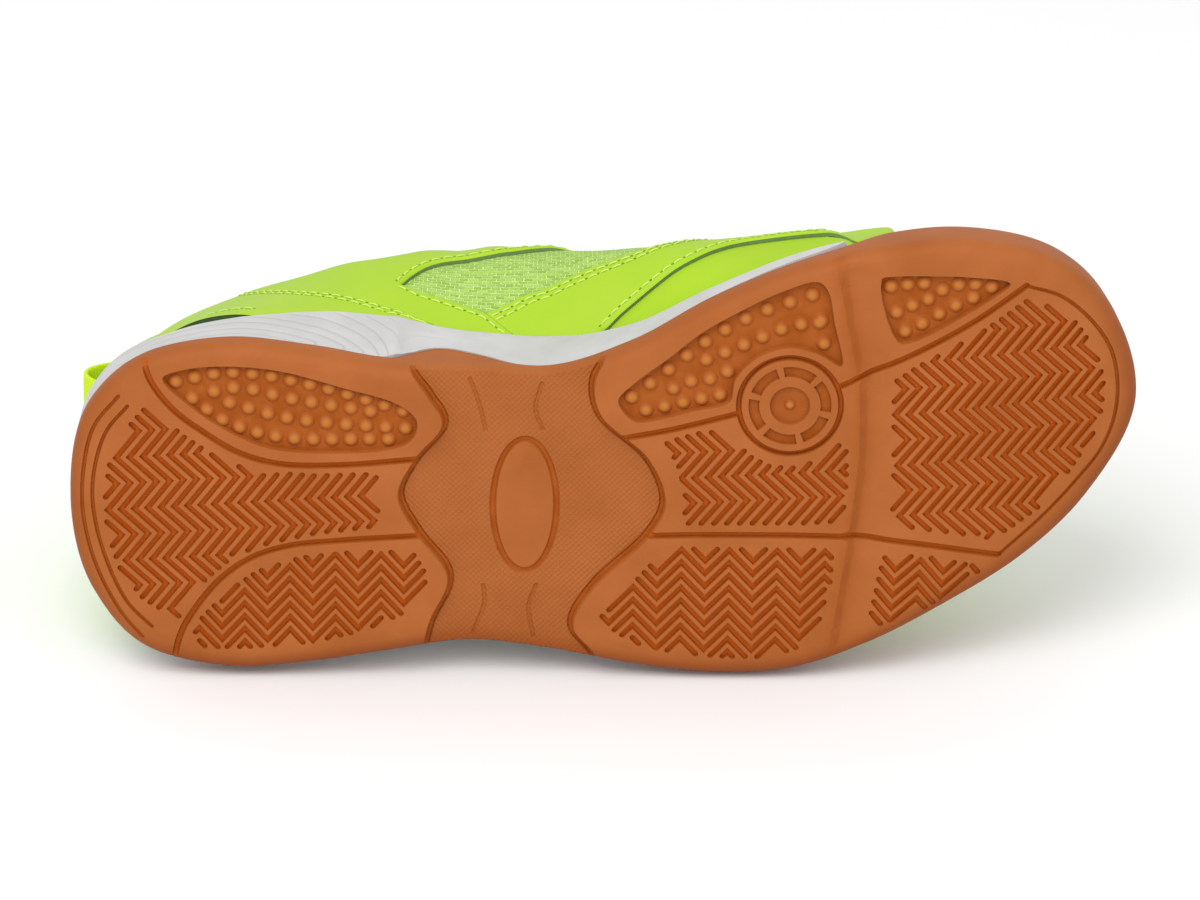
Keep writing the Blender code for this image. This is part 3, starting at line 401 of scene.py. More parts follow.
STUD_ROWS = (
    # studs in the row, then the curve they stand on
    (13, ((21.1, -26.0), (32.1, -28.2), (48.5, -25.8), (67.1, -20.4))),
    (9, ((28.8, -24.0), (33.8, -24.9), (45.1, -22.5), (60.5, -20.2))),
    (10, ((31.9, -21.6), (43.2, -18.6), (54.8, -17.3), (67.6, -16.6))),
    (12, ((24.3, -22.4), (30.7, -17.7), (41.7, -14.4), (64.1, -14.2))),
    (10, ((113.4, -24.0), (120.7, -30.0), (128.7, -36.6), (137.7, -42.0), (149.4, -46.4))),
    (4, ((121.8, -26.0), (125.6, -27.7), (129.7, -28.3), (132.6, -29.8))),
    (7, ((128.3, -32.3), (136.3, -35.8), (143.7, -39.2), (151.3, -41.0))),
    (5, ((116.3, -21.3), (124.3, -23.2), (131.2, -24.8))),
    (2, ((152.0, -36.1), (150.9, -40.6))),
    (3, ((165.2, -48.3), (168.4, -48.7), (171.9, -48.9))),
    (4, ((175.6, -47.4), (178.9, -48.4), (182.2, -48.4), (185.6, -47.6))),
    (3, ((166.5, -42.8), (169.5, -44.2), (172.8, -45.5))),
    (3, ((175.1, -42.3), (178.6, -44.1), (181.9, -45.5))),
    (2, ((168.3, -38.7), (171.7, -40.3))),
)
STUD_PROFILE = (
    # radius, rise over the pocket's floor
    (1.85, -0.10),
    (1.62, 0.10),
    (1.38, 0.34),
    (1.05, 0.60),
    (0.66, 0.79),
    (0.30, 0.88),
)
STUD_TOP = 0.90
STUD_SIDES = 14
STUD_FOOT_SHADE, STUD_TOP_HIGHLIGHT = 0.66, -0.3
studs = []
for count, row in STUD_ROWS:
    studs += list(even(curve(row), max(count - 1, 1)))

# Pivot circle: a deep ring groove, a ring of six cells and a sunk disc with one stud
PIVOT = np.array([145.4, -23.0])
PIVOT_RINGS = {"groove": (9.75, 10.95), "cells": (6.2, 8.4), "disc": 4.1}
PIVOT_CELLS = 6
PIVOT_WALL, PIVOT_DEEPER, PIVOT_SUNK = 0.3, 0.2, 0.9
CELL_START, CELL_SPAN, CELL_WALL, CELL_TINT = 0.32, 0.84, 0.2, 0.55
DISC_WALL, DISC_TINT = 0.25, 0.35
PIVOT_STUD = 0.72


def circle(radius, start=0.0, end=2 * math.pi, steps=64, closed=True):
    turn = np.linspace(start, end, steps, endpoint=not closed)
    return PIVOT + radius * np.column_stack([np.cos(turn), np.sin(turn)])


low, high = PIVOT_RINGS["groove"]
cuts.append(([circle(high), circle(low)], [circle(high - PIVOT_WALL), circle(low + PIVOT_WALL)],
             GROOVE_DEPTH + PIVOT_DEEPER, GROOVE_TINT))
low, high = PIVOT_RINGS["cells"]
for k in range(PIVOT_CELLS):
    start = 2 * math.pi * (k + CELL_START) / PIVOT_CELLS
    end = start + 2 * math.pi * CELL_SPAN / PIVOT_CELLS
    cell = np.vstack([circle(high, start, end, 14, False), circle(low, end, start, 14, False)])
    cuts.append(([cell], [shrink(cell, CELL_WALL)], PIVOT_SUNK, CELL_TINT))
disc = PIVOT_RINGS["disc"]
cuts.append(([circle(disc, steps=40)], [circle(disc - DISC_WALL, steps=40)], PIVOT_SUNK, DISC_TINT))

# Herringbone: zigzag grooves, stacked in each zone and stopped at its border with round ends
ZIG_WIDTH, ZIG_DEPTH, ZIG_WALL, ZIG_TINT = 1.2, 1.0, 0.14, 1.0
ZONE_LONG, ZONE_WIDE = 110, 70
SHORTEST_ZIG, SHORTEST_END = 1.4, 1.1
ZONES = {
    "heel": ((15.6, -21.3), (10.6, -15.3), (7.6, -8.6), (6.6, -1.4), (6.9, 6.4), (9.3, 14.2), (14.0, 21.0),
             (20.9, 25.4), (22.6, 22.6), (26.9, 16.4), (32.8, 11.2), (40.1, 8.3), (49.0, 6.2), (62.6, 4.3),
             (61.5, -1.6), (61.7, -6.9), (49.2, -6.4), (36.8, -7.1), (29.6, -9.8), (22.5, -14.6)),
    "heel_lateral": ((23.6, 30.7), (26.0, 25.3), (31.2, 19.4), (37.4, 14.8), (46.3, 11.6), (57.3, 10.2),
                     (69.0, 10.0), (71.9, 15.0), (71.4, 18.4), (66.6, 23.8), (59.1, 27.4), (48.6, 30.1),
                     (36.0, 31.4), (27.6, 31.6)),
    "rear": ((120.6, -14.7), (126.9, -16.7), (132.0, -17.3), (134.5, -15.2), (137.4, -11.9), (141.7, -9.7),
             (147.5, -9.5), (151.8, -11.6), (156.9, -16.4), (157.2, -6.9), (156.8, -0.6), (154.4, 2.4),
             (124.6, 2.9), (124.6, -3.5), (123.4, -9.0)),
    "lateral": ((107.4, 24.3), (112.7, 18.2), (117.9, 12.1), (122.5, 8.5), (154.7, 8.3), (154.5, 15.2),
                (152.2, 24.7), (147.7, 30.2), (141.3, 32.1), (131.9, 32.1), (122.5, 31.2), (114.4, 29.3)),
    "front": ((166.4, -28.0), (170.8, -31.2), (179.9, -36.2), (187.5, -40.8), (192.6, -44.6), (197.2, -43.2),
              (203.1, -39.2), (207.3, -32.8), (209.2, -26.5), (209.1, -20.3), (207.3, -14.3), (202.8, -7.3),
              (197.6, -0.3), (187.8, 6.6), (180.8, 5.1), (172.5, 3.8), (166.9, 2.8), (166.9, -9.5)),
    "front_lateral": ((165.3, 10.2), (167.5, 9.5), (175.0, 10.3), (185.9, 12.9), (180.8, 16.8), (174.4, 21.2),
                      (164.6, 24.8), (162.9, 23.9)),
}
ZIGZAGS = {
    # zone: an apex, turn of the stack in degrees, stack pitch, zigzag period, zigzag depth
    "heel": ((7.0, 1.7), -4.3, 2.72, 11.2, 5.1),
    "heel_lateral": ((53.4, 10.6), 90.0, 2.80, 9.30, 5.2),
    "rear": ((153.5, -8.9), -3.8, 2.72, 11.0, 5.1),
    "lateral": ((133.8, 8.6), 90.0, 2.80, 9.77, 5.2),
    "front": ((166.8, -21.0), -3.8, 2.72, 11.0, 5.1),
    "front_lateral": ((172.9, 10.7), 94.0, 2.80, 9.9, 5.2),
}
for name, zone in ZONES.items():
    apex, turned, pitch, period, deep = ZIGZAGS[name]
    zone = np.array(zone)
    stack = np.array([math.cos(math.radians(turned)), math.sin(math.radians(turned))])
    across = np.array([-stack[1], stack[0]])
    reach = int(ZONE_LONG / pitch)
    wings = int(ZONE_WIDE / period)
    for k in range(-reach, reach + 1):
        steps = np.arange(-2 * wings, 2 * wings + 1)
        zig = (k * pitch + np.where(steps % 2 == 0, 0.0, deep))[:, None]
        line = np.array(apex) + zig * stack + (steps * period / 2)[:, None] * across
        for bit in clip(line, zone):
            if len(bit) > 2 and np.linalg.norm(bit[1] - bit[0]) < SHORTEST_END:
                bit = bit[1:]
            if len(bit) > 2 and np.linalg.norm(bit[-1] - bit[-2]) < SHORTEST_END:
                bit = bit[:-1]
            if np.linalg.norm(np.diff(bit, axis=0), axis=1).sum() >= SHORTEST_ZIG:
                cut_along(bit, ZIG_WIDTH, ZIG_WALL, ZIG_DEPTH, ZIG_TINT)

# The flat tread is divided along every cut at once, and each corner then gets its height
border = outline_loop(TREAD_EDGE[0][0])
tread_loops = [border] + [outline_loop(inset)[::2] for inset, _ in TREAD_EDGE[1:]]
tread_loops += [loop for surface, floor, _, _ in cuts for loop in surface + floor]

# Flex channel: a soft hollow over the ball, steep at its heel side, with painted shade along its steep side
FLEX_LINE = ((154.8, -58.0), (156.0, -52.2), (158.2, -40.5), (160.7, -28.2), (161.2, -12.7), (160.0, 1.7),
             (156.2, 30.9), (155.2, 40.0))
FLEX_STEEP, FLEX_SOFT, FLEX_DEPTH = 1.9, 8.0, 1.2
FLEX_PAINTED_SHADE, FLEX_SHADE = 0.28, 1.8
FLEX_FADE = (0.3, 4.5)
FLEX_COUNT, FLEX_BESIDE = 70, np.arange(-3.2, 9.0, 0.8)
flex_rows = curve(FLEX_LINE, 6)
flex_points = [(x + offset, y) for x, y in even(flex_rows, FLEX_COUNT) for offset in FLEX_BESIDE]
# Plain points fill the tread between the cuts
GRID, GRID_CLEAR = 4.0, 0.35
grid = np.array([(x, y) for x in np.arange(2.0, LENGTH, GRID) for y in np.arange(-60.0, 40.0, GRID)])
for surface, _, deep, _ in cuts:
    if deep != WAIST_DEPTH:
        grid = grid[~within(grid, shrink(surface[0], -GRID_CLEAR))]


def divided(loops, loose, border, nearest):
    """Triangles inside a border, divided along every loop and at the loose points."""
    points, edges = [], []
    for loop in loops:
        edges += [(len(points) + i, len(points) + (i + 1) % len(loop)) for i in range(len(loop))]
        points += [Vector(p) for p in loop]
    points += [Vector(p) for p in loose]
    kept, _, triangles, _, _, _ = delaunay_2d_cdt(points, edges, [], 0, nearest, True)
    kept = np.array([tuple(p) for p in kept])
    triangles = np.array(triangles)
    return kept, triangles[within(kept[triangles].mean(axis=1), border)]


def open_edges(triangles):
    """The edges that only one triangle has."""
    pairs = np.stack([triangles, np.roll(triangles, -1, axis=1)], axis=2).reshape(-1, 2)
    turns = dict.fromkeys(map(tuple, pairs.tolist()))
    return [(a, b) for a, b in turns if (b, a) not in turns]


kept, triangles = divided(tread_loops, flex_points + list(grid), border, 1e-4)


def distance(points, line, closed=True, batch=2000):
    """Least distance from each point to a line."""
    start = line if closed else line[:-1]
    step = np.roll(line, -1, axis=0)[:len(start)] - start
    long = np.maximum((step**2).sum(axis=1), 1e-12)
    least = np.empty(len(points))
    for k in range(0, len(points), batch):
        apart = points[k:k + batch, None] - start
        t = np.clip((apart * step).sum(axis=2) / long, 0.0, 1.0)
        least[k:k + batch] = np.linalg.norm(apart - t[..., None] * step, axis=2).min(axis=1)
    return least


def between(points, loops, grow):
    """Which points lie inside the first loop and, if there is a second, outside that."""
    inside = within(points, shrink(loops[0], -grow))
    for loop in loops[1:]:
        inside &= ~within(points, shrink(loop, grow))
    return inside


# Slack for the points that lie on a cut's own line
HAIR = 0.02
near_edge = ~within(kept, outline_loop(TREAD_EDGE[-1][0]))
gap = np.full(len(kept), TREAD_EDGE[-1][0])
gap[near_edge] = distance(kept[near_edge], EDGE)
tread = np.asarray(TREAD_EDGE)
tread_z = np.interp(gap, tread[:, 0], tread[:, 1])
depth = np.zeros(len(kept))
# Painted shade: each cut's colour deepens down its walls to its floor, standing for the shade in the recess
recess_shade = np.zeros(len(kept))
for surface, floor, deep, deepens in cuts:
    near = np.flatnonzero(between(kept, surface, -HAIR / 2))
    share = between(kept[near], floor, HAIR).astype(float)
    wall = np.flatnonzero(share == 0.0)
    if len(wall):
        out = np.min([distance(kept[near[wall]], loop) for loop in surface], axis=0)
        down = np.min([distance(kept[near[wall]], loop) for loop in floor], axis=0)
        share[wall] = out / np.maximum(out + down, 1e-9)
    base = WAIST_DEPTH if deep > WAIST_DEPTH else 0.0
    depth[near] = np.maximum(depth[near], base + (deep - base) * share)
    if deep == WAIST_DEPTH:
        recess_shade[near] *= 1 - share
    recess_shade[near] = np.maximum(recess_shade[near], deepens * share)
flex_x = np.interp(kept[:, 1], flex_rows[:, 1], flex_rows[:, 0])
beside = kept[:, 0] - flex_x
hollow = np.where(beside < 0, ease(-FLEX_STEEP, 0.0, beside), 1 - ease(0.0, FLEX_SOFT, beside)) * FLEX_DEPTH
hollow *= ease(*FLEX_FADE, gap)
# Painted shade along the foot of the flex channel's steep side
recess_shade = np.maximum(recess_shade, FLEX_PAINTED_SHADE * np.exp(-((beside + FLEX_STEEP / 2) / FLEX_SHADE) ** 2))
sole_points = np.column_stack([kept, np.maximum(tread_z, depth) + hollow])

# The side of the slab goes on from the tread's border up to the rim and down inside it
follow = dict(open_edges(triangles))
loop = [next(iter(follow))]
while follow[loop[-1]] != loop[0]:
    loop.append(follow[loop[-1]])
loop = np.array(loop)
segment = np.roll(border, -1, axis=0) - border
at = []
for p in kept[loop]:
    t = np.clip(((p - border) * segment).sum(axis=1) / (segment**2).sum(axis=1), 0.0, 1.0)
    off = np.linalg.norm(p - border - segment * t[:, None], axis=1)
    best = int(np.argmin(off))
    at.append(best + t[best])
at = np.array(at)
WIDEST = 4.2
UNDER_WIDEST = (0.05, 3.3)
SIDE_ROWS = (
    # share of the way from the widest line to the rim, share of the lean, extra inset
    (0.30, 0.14, 0.0),
    (0.60, 0.35, 0.0),
    (0.78, 0.60, 0.0),
    (0.84, 0.70, 0.05),
    (0.865, 0.74, 0.32),
    (0.89, 0.79, 0.05),
    (0.95, 0.92, 0.10),
    (0.99, 1.00, 0.35),
    (1.00, 1.00, 0.80),
)
rows = [ring(at, *UNDER_WIDEST), ring(at, 0.0, WIDEST)]
rows += [ring(at, LEAN_IN * lean + extra, WIDEST + (RIM - WIDEST) * share)
         for share, lean, extra in SIDE_ROWS]
rows += [ring(at, LEAN_IN + LIP, RIM), ring(at, LEAN_IN + LIP, SLAB)]
size = len(loop)
faces = [tuple(tri[::-1]) for tri in triangles]
before = loop
for k in range(len(rows)):
    after = len(sole_points) + k * size + np.arange(size)
    faces += zip(before, np.roll(before, -1), np.roll(after, -1), after)
    before = after
faces.append(tuple(before))
sole_points = np.vstack([sole_points] + rows)
used = np.unique(np.concatenate([np.array(f) for f in faces]))
renumber = np.full(len(sole_points), -1)
renumber[used] = np.arange(len(used))
faces = [tuple(int(renumber[i]) for i in f) for f in faces]
shade_and_highlight_mask = np.r_[recess_shade, np.zeros(len(sole_points) - len(kept))][used]
# Painted shade: the rubber is painted darker along the border of the tread, where it turns from the light,
# most at the toe, the outer side and the heel
SHADE_WAY, SHADE_TURN, SHADE_REACH = np.array([0.62, 0.78]), 0.25, 5.0
HEEL_SHADE = 0.55
nearest = np.array([int(np.argmin(((EDGE - p) ** 2).sum(axis=1))) for p in kept])
facing = np.clip(OUT @ SHADE_WAY + SHADE_TURN, 0.0, 1.0)
facing = np.maximum(facing, HEEL_SHADE * np.clip(-OUT[:, 0], 0.0, 1.0))
border_shade_mask = facing[nearest] * ease(SHADE_REACH, 0.0, gap)
side_shade = facing[np.round(at).astype(int) % COUNT]
border_shade_mask = np.r_[border_shade_mask, np.tile(side_shade, len(rows))][used]
arch_mask = np.zeros(len(sole_points))
arch_mask[:len(kept)] = within(kept, shrink(waist_floor, -HAIR)) & ~within(kept, oval(OVAL_RING / 2 - HAIR))
arch_mask = arch_mask[used]
sole_points = sole_points[used]


def bands(rows, size, start=0, closed=False):
    """Faces between loops of the same size."""
    faces = []
    for k in range(rows if closed else rows - 1):
        low, high = start + k * size, start + ((k + 1) % rows) * size
        faces += [(low + i, low + (i + 1) % size, high + (i + 1) % size, high + i) for i in range(size)]
    return faces


# Studs are small domes that grow out of the pockets' floors, with painted shade at the foot and a painted
# highlight on top
turn = np.linspace(0.0, 2 * math.pi, STUD_SIDES, endpoint=False)
compass = np.column_stack([np.cos(turn), np.sin(turn), np.zeros(STUD_SIDES)])
stud_points, stud_faces, stud_shade_and_highlight = [], [], []
for k, (x, y) in enumerate(studs + [PIVOT]):
    floor_z, size = (POCKET_DEPTH, 1.0) if k < len(studs) else (PIVOT_SUNK, PIVOT_STUD)
    start = len(sole_points) + len(stud_points)
    for radius, rise in STUD_PROFILE:
        stud_points.extend(np.array([x, y, floor_z - rise * size]) + compass * radius * size)
        deepens = STUD_FOOT_SHADE * ease(0.62, 0.0, rise) + STUD_TOP_HIGHLIGHT * ease(0.6, 0.85, rise)
        stud_shade_and_highlight.extend([float(deepens)] * STUD_SIDES)
    stud_points.append(np.array([x, y, floor_z - STUD_TOP * size]))
    stud_shade_and_highlight.append(STUD_TOP_HIGHLIGHT)
    stud_faces += bands(len(STUD_PROFILE), STUD_SIDES, start)
    top = start + len(STUD_PROFILE) * STUD_SIDES
    last = range(top - STUD_SIDES, top)
    stud_faces += [(a, b, top) for a, b in zip(last, [*last[1:], last[0]])]
    stud_faces.append(tuple(range(start, start + STUD_SIDES))[::-1])
sole_points = np.vstack([sole_points, stud_points])
faces += stud_faces
shade_and_highlight_mask = np.r_[shade_and_highlight_mask, stud_shade_and_highlight]
border_shade_mask = np.r_[border_shade_mask, np.zeros(len(stud_points))]
arch_mask = np.r_[arch_mask, np.zeros(len(stud_points))]
sole_points[:, 2] += spring(sole_points[:, 0])


def piece(name, points, faces, angle=35.0, **attributes):
    """A piece from points in the shoe's millimetres, pressed flat where it lies, with its faces outwards."""
    mesh = bpy.data.meshes.new(name)
    placed = in_row(points)
    placed[:, 2] = np.maximum(placed[:, 2], 0.0)
    mesh.from_pydata(placed.tolist(), [], faces)
    bm = bmesh.new()
    bm.from_mesh(mesh)
    bmesh.ops.recalc_face_normals(bm, faces=bm.faces)
    bm.to_mesh(mesh)
    bm.free()
    shoe = mesh.attributes.new("shoe", "FLOAT_VECTOR", "POINT")
    shoe.data.foreach_set("vector", np.asarray(points, np.float32).ravel())
    for label, values in attributes.items():
        layer = mesh.attributes.new(label, "FLOAT", "POINT")
        layer.data.foreach_set("value", np.asarray(values, np.float32))
    made = bpy.data.objects.new(name, mesh)
    bpy.context.scene.collection.objects.link(made)
    bpy.ops.object.select_all(action="DESELECT")
    made.select_set(True)
    bpy.context.view_layer.objects.active = made
    bpy.ops.object.shade_smooth_by_angle(angle=math.radians(angle))
    made.select_set(False)
    return made


outsole = piece("outsole_gum", sole_points, faces, 28.0, groove=shade_and_highlight_mask, arch=arch_mask, shade=border_shade_mask)


class Finish:
    """A material with its Principled shader, and ways to add nodes to it."""

    def __init__(self, name, colour, rough, specular):
        self.material = bpy.data.materials.new(name)
        self.material.use_nodes = True
        self.tree = self.material.node_tree
        self.shader = self.tree.nodes["Principled BSDF"]
        self.shader.inputs["Base Color"].default_value = (*colour, 1.0)
        self.shader.inputs["Roughness"].default_value = rough
        self.shader.inputs["Specular IOR Level"].default_value = specular
        self.place = self.layer("shoe", "Vector")

    def node(self, kind, feeds=(), **settings):
        """A node, fed with other nodes' sockets, with numbers or with colours."""
        new = self.tree.nodes.new("ShaderNode" + kind)
        for key, value in settings.items():
            setattr(new, key, value)
        for socket, value in dict(feeds).items():
            if isinstance(value, bpy.types.NodeSocket):
                self.tree.links.new(value, new.inputs[socket])
            elif isinstance(value, tuple):
                new.inputs[socket].default_value = (*value, 1.0)
            else:
                new.inputs[socket].default_value = value
        return new

    def layer(self, label, output="Fac"):
        """A value that the mesh carries at its points."""
        return self.node("Attribute", attribute_name=label).outputs[output]

    def math(self, operation, first, second):
        return self.node("Math", {0: first, 1: second}, operation=operation).outputs[0]

    def spread(self, value, **ends):
        """A value, spread from its own range to another."""
        ends = {key.replace("_", " ").title(): end for key, end in ends.items()}
        return self.node("MapRange", {"Value": value, **ends}).outputs["Result"]

    def noise(self, scale, detail, roughness=0.5, output="Fac", place=None):
        feeds = {"Vector": place or self.place, "Scale": scale, "Detail": detail, "Roughness": roughness}
        return self.node("TexNoise", feeds).outputs[output]

    def mottle(self, low, high, scale, detail=3.0, roughness=0.5, stops=(0.0, 1.0)):
        """Cloudy patches between two colours."""
        tone = self.node("ValToRGB", {"Fac": self.noise(scale, detail, roughness)})
        for mark, stop, colour in zip(tone.color_ramp.elements, stops, (low, high)):
            mark.position = stop
            mark.color = (*colour, 1.0)
        return tone.outputs["Color"]

    def mix(self, factor, first, second):
        return self.node("Mix", data_type="RGBA", feeds={"Factor": factor, 6: first, 7: second}).outputs[2]

    def join(self, source, socket="Base Color"):
        self.tree.links.new(source, self.shader.inputs[socket])

    def bump(self, height, strength, distance, invert=False):
        feeds = {"Height": height, "Strength": strength, "Distance": distance}
        self.join(self.node("Bump", feeds, invert=invert).outputs["Normal"], "Normal")

    def turned(self, degrees):
        """The piece's own place, turned about the upright axis."""
        mapping = self.node("Mapping", {"Vector": self.place})
        mapping.inputs["Rotation"].default_value = (0.0, 0.0, math.radians(degrees))
        return mapping.outputs["Vector"]


GROOVE_SHADE_COLOUR, STUD_HIGHLIGHT_COLOUR, BORDER_SHADE_COLOUR = (0.46, 0.090, 0.003), (0.45, 0.150, 0.022), (0.255, 0.058, 0.007)
gum = Finish("gum_rubber", (0.355, 0.097, 0.023), 0.55, 0.13)
groove = gum.layer("groove")
tone = gum.mottle((0.33, 0.091, 0.018), (0.395, 0.117, 0.028), 0.05, 4.0, 0.6, stops=(0.3, 0.7))
# Painted shade: pocket floors and grooves turn darker and more saturated, standing for the shade in the
# recesses
pocket_shade = gum.mottle((0.29, 0.063, 0.003), (0.345, 0.085, 0.010), 0.28, stops=(0.35, 0.65))
tone = gum.mix(gum.spread(groove, from_max=POCKET_TINT), tone, pocket_shade)
tone = gum.mix(gum.spread(groove, from_min=POCKET_TINT), tone, GROOVE_SHADE_COLOUR)
# Painted highlight: the studs' tops turn paler
tone = gum.mix(gum.spread(groove, from_max=STUD_TOP_HIGHLIGHT), tone, STUD_HIGHLIGHT_COLOUR)
# Painted shade along the border of the tread
gum.join(gum.mix(gum.layer("shade"), tone, BORDER_SHADE_COLOUR))
pebble = gum.node("TexVoronoi", {"Vector": gum.turned(45.0), "Scale": 1.18, "Randomness": 0.0})
pebbled = gum.math("MULTIPLY", pebble.outputs["Distance"], gum.layer("arch"))
skin = gum.math("MULTIPLY", gum.noise(2.4, 3.0), 0.12)
gum.bump(gum.math("SUBTRACT", skin, pebbled), 0.6, 0.0005)
outsole.data.materials.append(gum.material)
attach(outsole, "root")
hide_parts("outsole")


# Midsole: white foam moulded in one piece, glued into the outsole's rim. Grooves are pressed into
# the heel sides, which run along the shoe and turn down, then one upright bulge and a framed field.
GAP = 0.3
LATERAL_FLARE = 0.2
FLARED = read(SOLE_HEIGHTS, FLARE, STATION) * np.where(LATERAL, LATERAL_FLARE, 1.0)
BED_Z = read(SOLE_HEIGHTS, BED, STATION)
BUMPER_RISE = (-3.4, -0.4)
BUMPER = ease(*BUMPER_RISE, RIM - TOP)
clear_rim = np.max([np.roll(RIM, k) for k in (-1, 0, 1)], axis=0)
FOAM_DROP = (
    # station, how much lower than the foot of the upper the foam's edge shows
    (0.03, 0.0),
    (0.085, 0.85),
    (0.14, 1.30),
    (0.18, 0.95),
    (0.205, 0.70),
    (0.23, 1.05),
    (0.26, 1.35),
    (0.31, 1.15),
    (0.35, 0.55),
    (0.42, 0.25),
    (0.55, 0.30),
    (0.68, 1.15),
    (0.76, 2.00),
    (0.90, 1.00),
    (1.00, 1.00),
)
DROP_TO_SHOW, HEEL_DROP, HEEL_DRAW = 1.35, 0.9, 0.2
LIP_TALL, LIP_CUT, LEDGE_IN = 1.4, 0.7, 0.6
FACE_IN, FACE_STANDS = 0.1, (-0.1, 0.6)
OVER_RIM, LEAST_FACE = 0.05, 0.15
HEEL_HALF, RIBBED = (0.55, 0.45), (0.36, 0.33)
shown_drop = read(FOAM_DROP, 1, STATION)
heel_half = ease(*HEEL_HALF, STATION)
drop = shown_drop * (DROP_TO_SHOW + HEEL_DROP * heel_half)
standing = ease(*FACE_STANDS, TOP - drop - clear_rim)
inside = LEAN_IN + LIP + GAP
face_inset = inside + (FACE_IN - inside) * standing
grown = FLARED * standing
foam_foot = np.minimum(clear_rim + OVER_RIM, TOP - 1.0)
foam_top = np.maximum(TOP - drop, foam_foot + LEAST_FACE)
rounded = np.clip((foam_top - foam_foot) / LIP_TALL, 0.0, 1.0)
FEATHER, DISH_IN, DISH_WALL = 1.9, 6.0, 2.4
feather = FEATHER - grown + (inside + GAP - FEATHER) * BUMPER
dish = feather + DISH_IN - FEATHER
FOAM_ROWS = 46
FOAM_GROOVES = (
    ((26.0, 25.0), (38.7, 25.8), (47.5, 25.0), (56.3, 20.9), (60.8, 16.7), (63.0, 11.6), (63.6, 8.6)),
    ((17.0, 18.4), (29.6, 21.7), (39.0, 21.7), (47.7, 20.5), (53.9, 17.6), (58.7, 14.0), (61.0, 10.3),
     (61.8, 8.0)),
    ((15.0, 15.2), (28.4, 17.8), (39.2, 18.2), (46.2, 16.6), (52.3, 13.7), (56.7, 10.3), (58.8, 7.8)),
    ((13.0, 12.2), (28.2, 14.2), (38.5, 15.0), (45.5, 13.4), (52.0, 10.4), (54.9, 8.4)),
    ((12.0, 9.6), (28.0, 10.8), (38.0, 11.2), (45.0, 9.8), (49.0, 8.2)),
    ((67.0, 12.0), (67.2, 16.5), (69.0, 18.6), (75.5, 18.4), (77.6, 16.0), (76.6, 12.6), (70.0, 11.0),
     (67.0, 12.0)),
)
GROOVE_PRESS, GROOVE_SPREAD = 0.16, 0.5
GROOVE_APART = 3.4
# The lines go on below the foam, so that each one parts what is inside it from what is outside
LINE_ON = (1.4, -9.0)
LINES_FROM, LINES_TO = (0.0, 0.07), (0.315, 0.29)
BULGE_X, BULGE_WIDE, BULGE_OUT = 65.0, 1.5, 0.55
BEHIND = -30.0


def nested(points, lines):
    """Which of the nested lines a point lies next to: whole numbers on the lines, shares between them."""
    away = np.array([distance(points, line, closed=False) for line in lines])
    inside = np.zeros(len(points), int)
    for line in lines:
        closed = np.vstack([line, [(line[-1, 0], LINE_ON[1]), (BEHIND, LINE_ON[1]), (BEHIND, line[0, 1])]])
        inside += within(points, closed)
    each = np.arange(len(points))
    outer = away[np.clip(inside - 1, 0, None), each]
    inner = away[np.clip(inside, None, len(lines) - 1), each]
    share = outer / np.maximum(outer + inner, 1e-6)
    share = np.where(inside == len(lines), outer / GROOVE_APART, share)
    return np.where(inside == 0, -inner / GROOVE_APART, inside - 1 + share)


everywhere = np.arange(COUNT, dtype=float)
foam_lines = [curve(line, 5) for line in FOAM_GROOVES]
nested_lines = [np.vstack([line, line[-1] + LINE_ON]) for line in foam_lines[:-1]]
foam_rows = [ring(everywhere, inside, SLAB + GAP), ring(everywhere, inside, foam_foot - 0.01)]
press, pressed_part = [np.zeros(2 * COUNT)], [np.zeros(2 * COUNT)]
for level in np.linspace(0.0, 1.0, FOAM_ROWS):
    tall = foam_foot + (foam_top - LIP_CUT * rounded - foam_foot) * level
    beside = np.column_stack([EDGE[:, 0], tall])
    pressed = np.zeros(COUNT)
    for line in foam_lines:
        pressed = np.maximum(pressed, np.exp(-(distance(beside, line, closed=False) / GROOVE_SPREAD) ** 2))
    bulge = BULGE_OUT * np.exp(-((EDGE[:, 0] - BULGE_X) / BULGE_WIDE) ** 2) * ease(0.95, 0.5, level)
    relief = (pressed * GROOVE_PRESS * ease(1.0, 0.94, level) - bulge) * standing * ease(*RIBBED, STATION)
    swell = (grown - shown_drop * HEEL_DRAW * heel_half) * level
    press.append(nested(beside, nested_lines))
    lined_part = ease(*LINES_FROM, STATION) * ease(*LINES_TO, STATION) * ease(1.0, 0.93, level)
    pressed_part.append(standing * lined_part)
    foam_rows.append(ring(everywhere, face_inset - swell + relief, tall))
lip = face_inset - swell
FOAM_LIP = (
    # inset, how far below the top
    (0.07, 0.4),
    (0.25, 0.15),
)
foam_rows += [ring(everywhere, lip + inset, foam_top - below * rounded) for inset, below in FOAM_LIP]
ledge = np.maximum(feather, lip + 0.5) + LEDGE_IN
foam_rows += [ring(everywhere, ledge, foam_top), ring(everywhere, dish, TOP),
              ring(everywhere, dish + DISH_WALL, BED_Z)]


def rungs(start, size):
    """Faces that close a loop with rungs between its two sides."""
    half = size // 2
    faces = [(start, start + 1, start + size - 1)]
    faces += [(start + j, start + j + 1, start + size - j - 1, start + size - j) for j in range(1, half - 1)]
    return faces + [(start + half - 1, start + half, start + half + 1)]


foam_points = np.vstack(foam_rows)
foam_points[:, 2] += spring(foam_points[:, 0])
foam_faces = bands(len(foam_rows), COUNT) + rungs(0, COUNT) + rungs((len(foam_rows) - 1) * COUNT, COUNT)
plain = np.zeros(len(foam_points) - COUNT * (FOAM_ROWS + 2))
midsole = piece("midsole_foam", foam_points, foam_faces, 50.0, press=np.concatenate(press + [plain]),
                pressed=np.concatenate(pressed_part + [plain]))
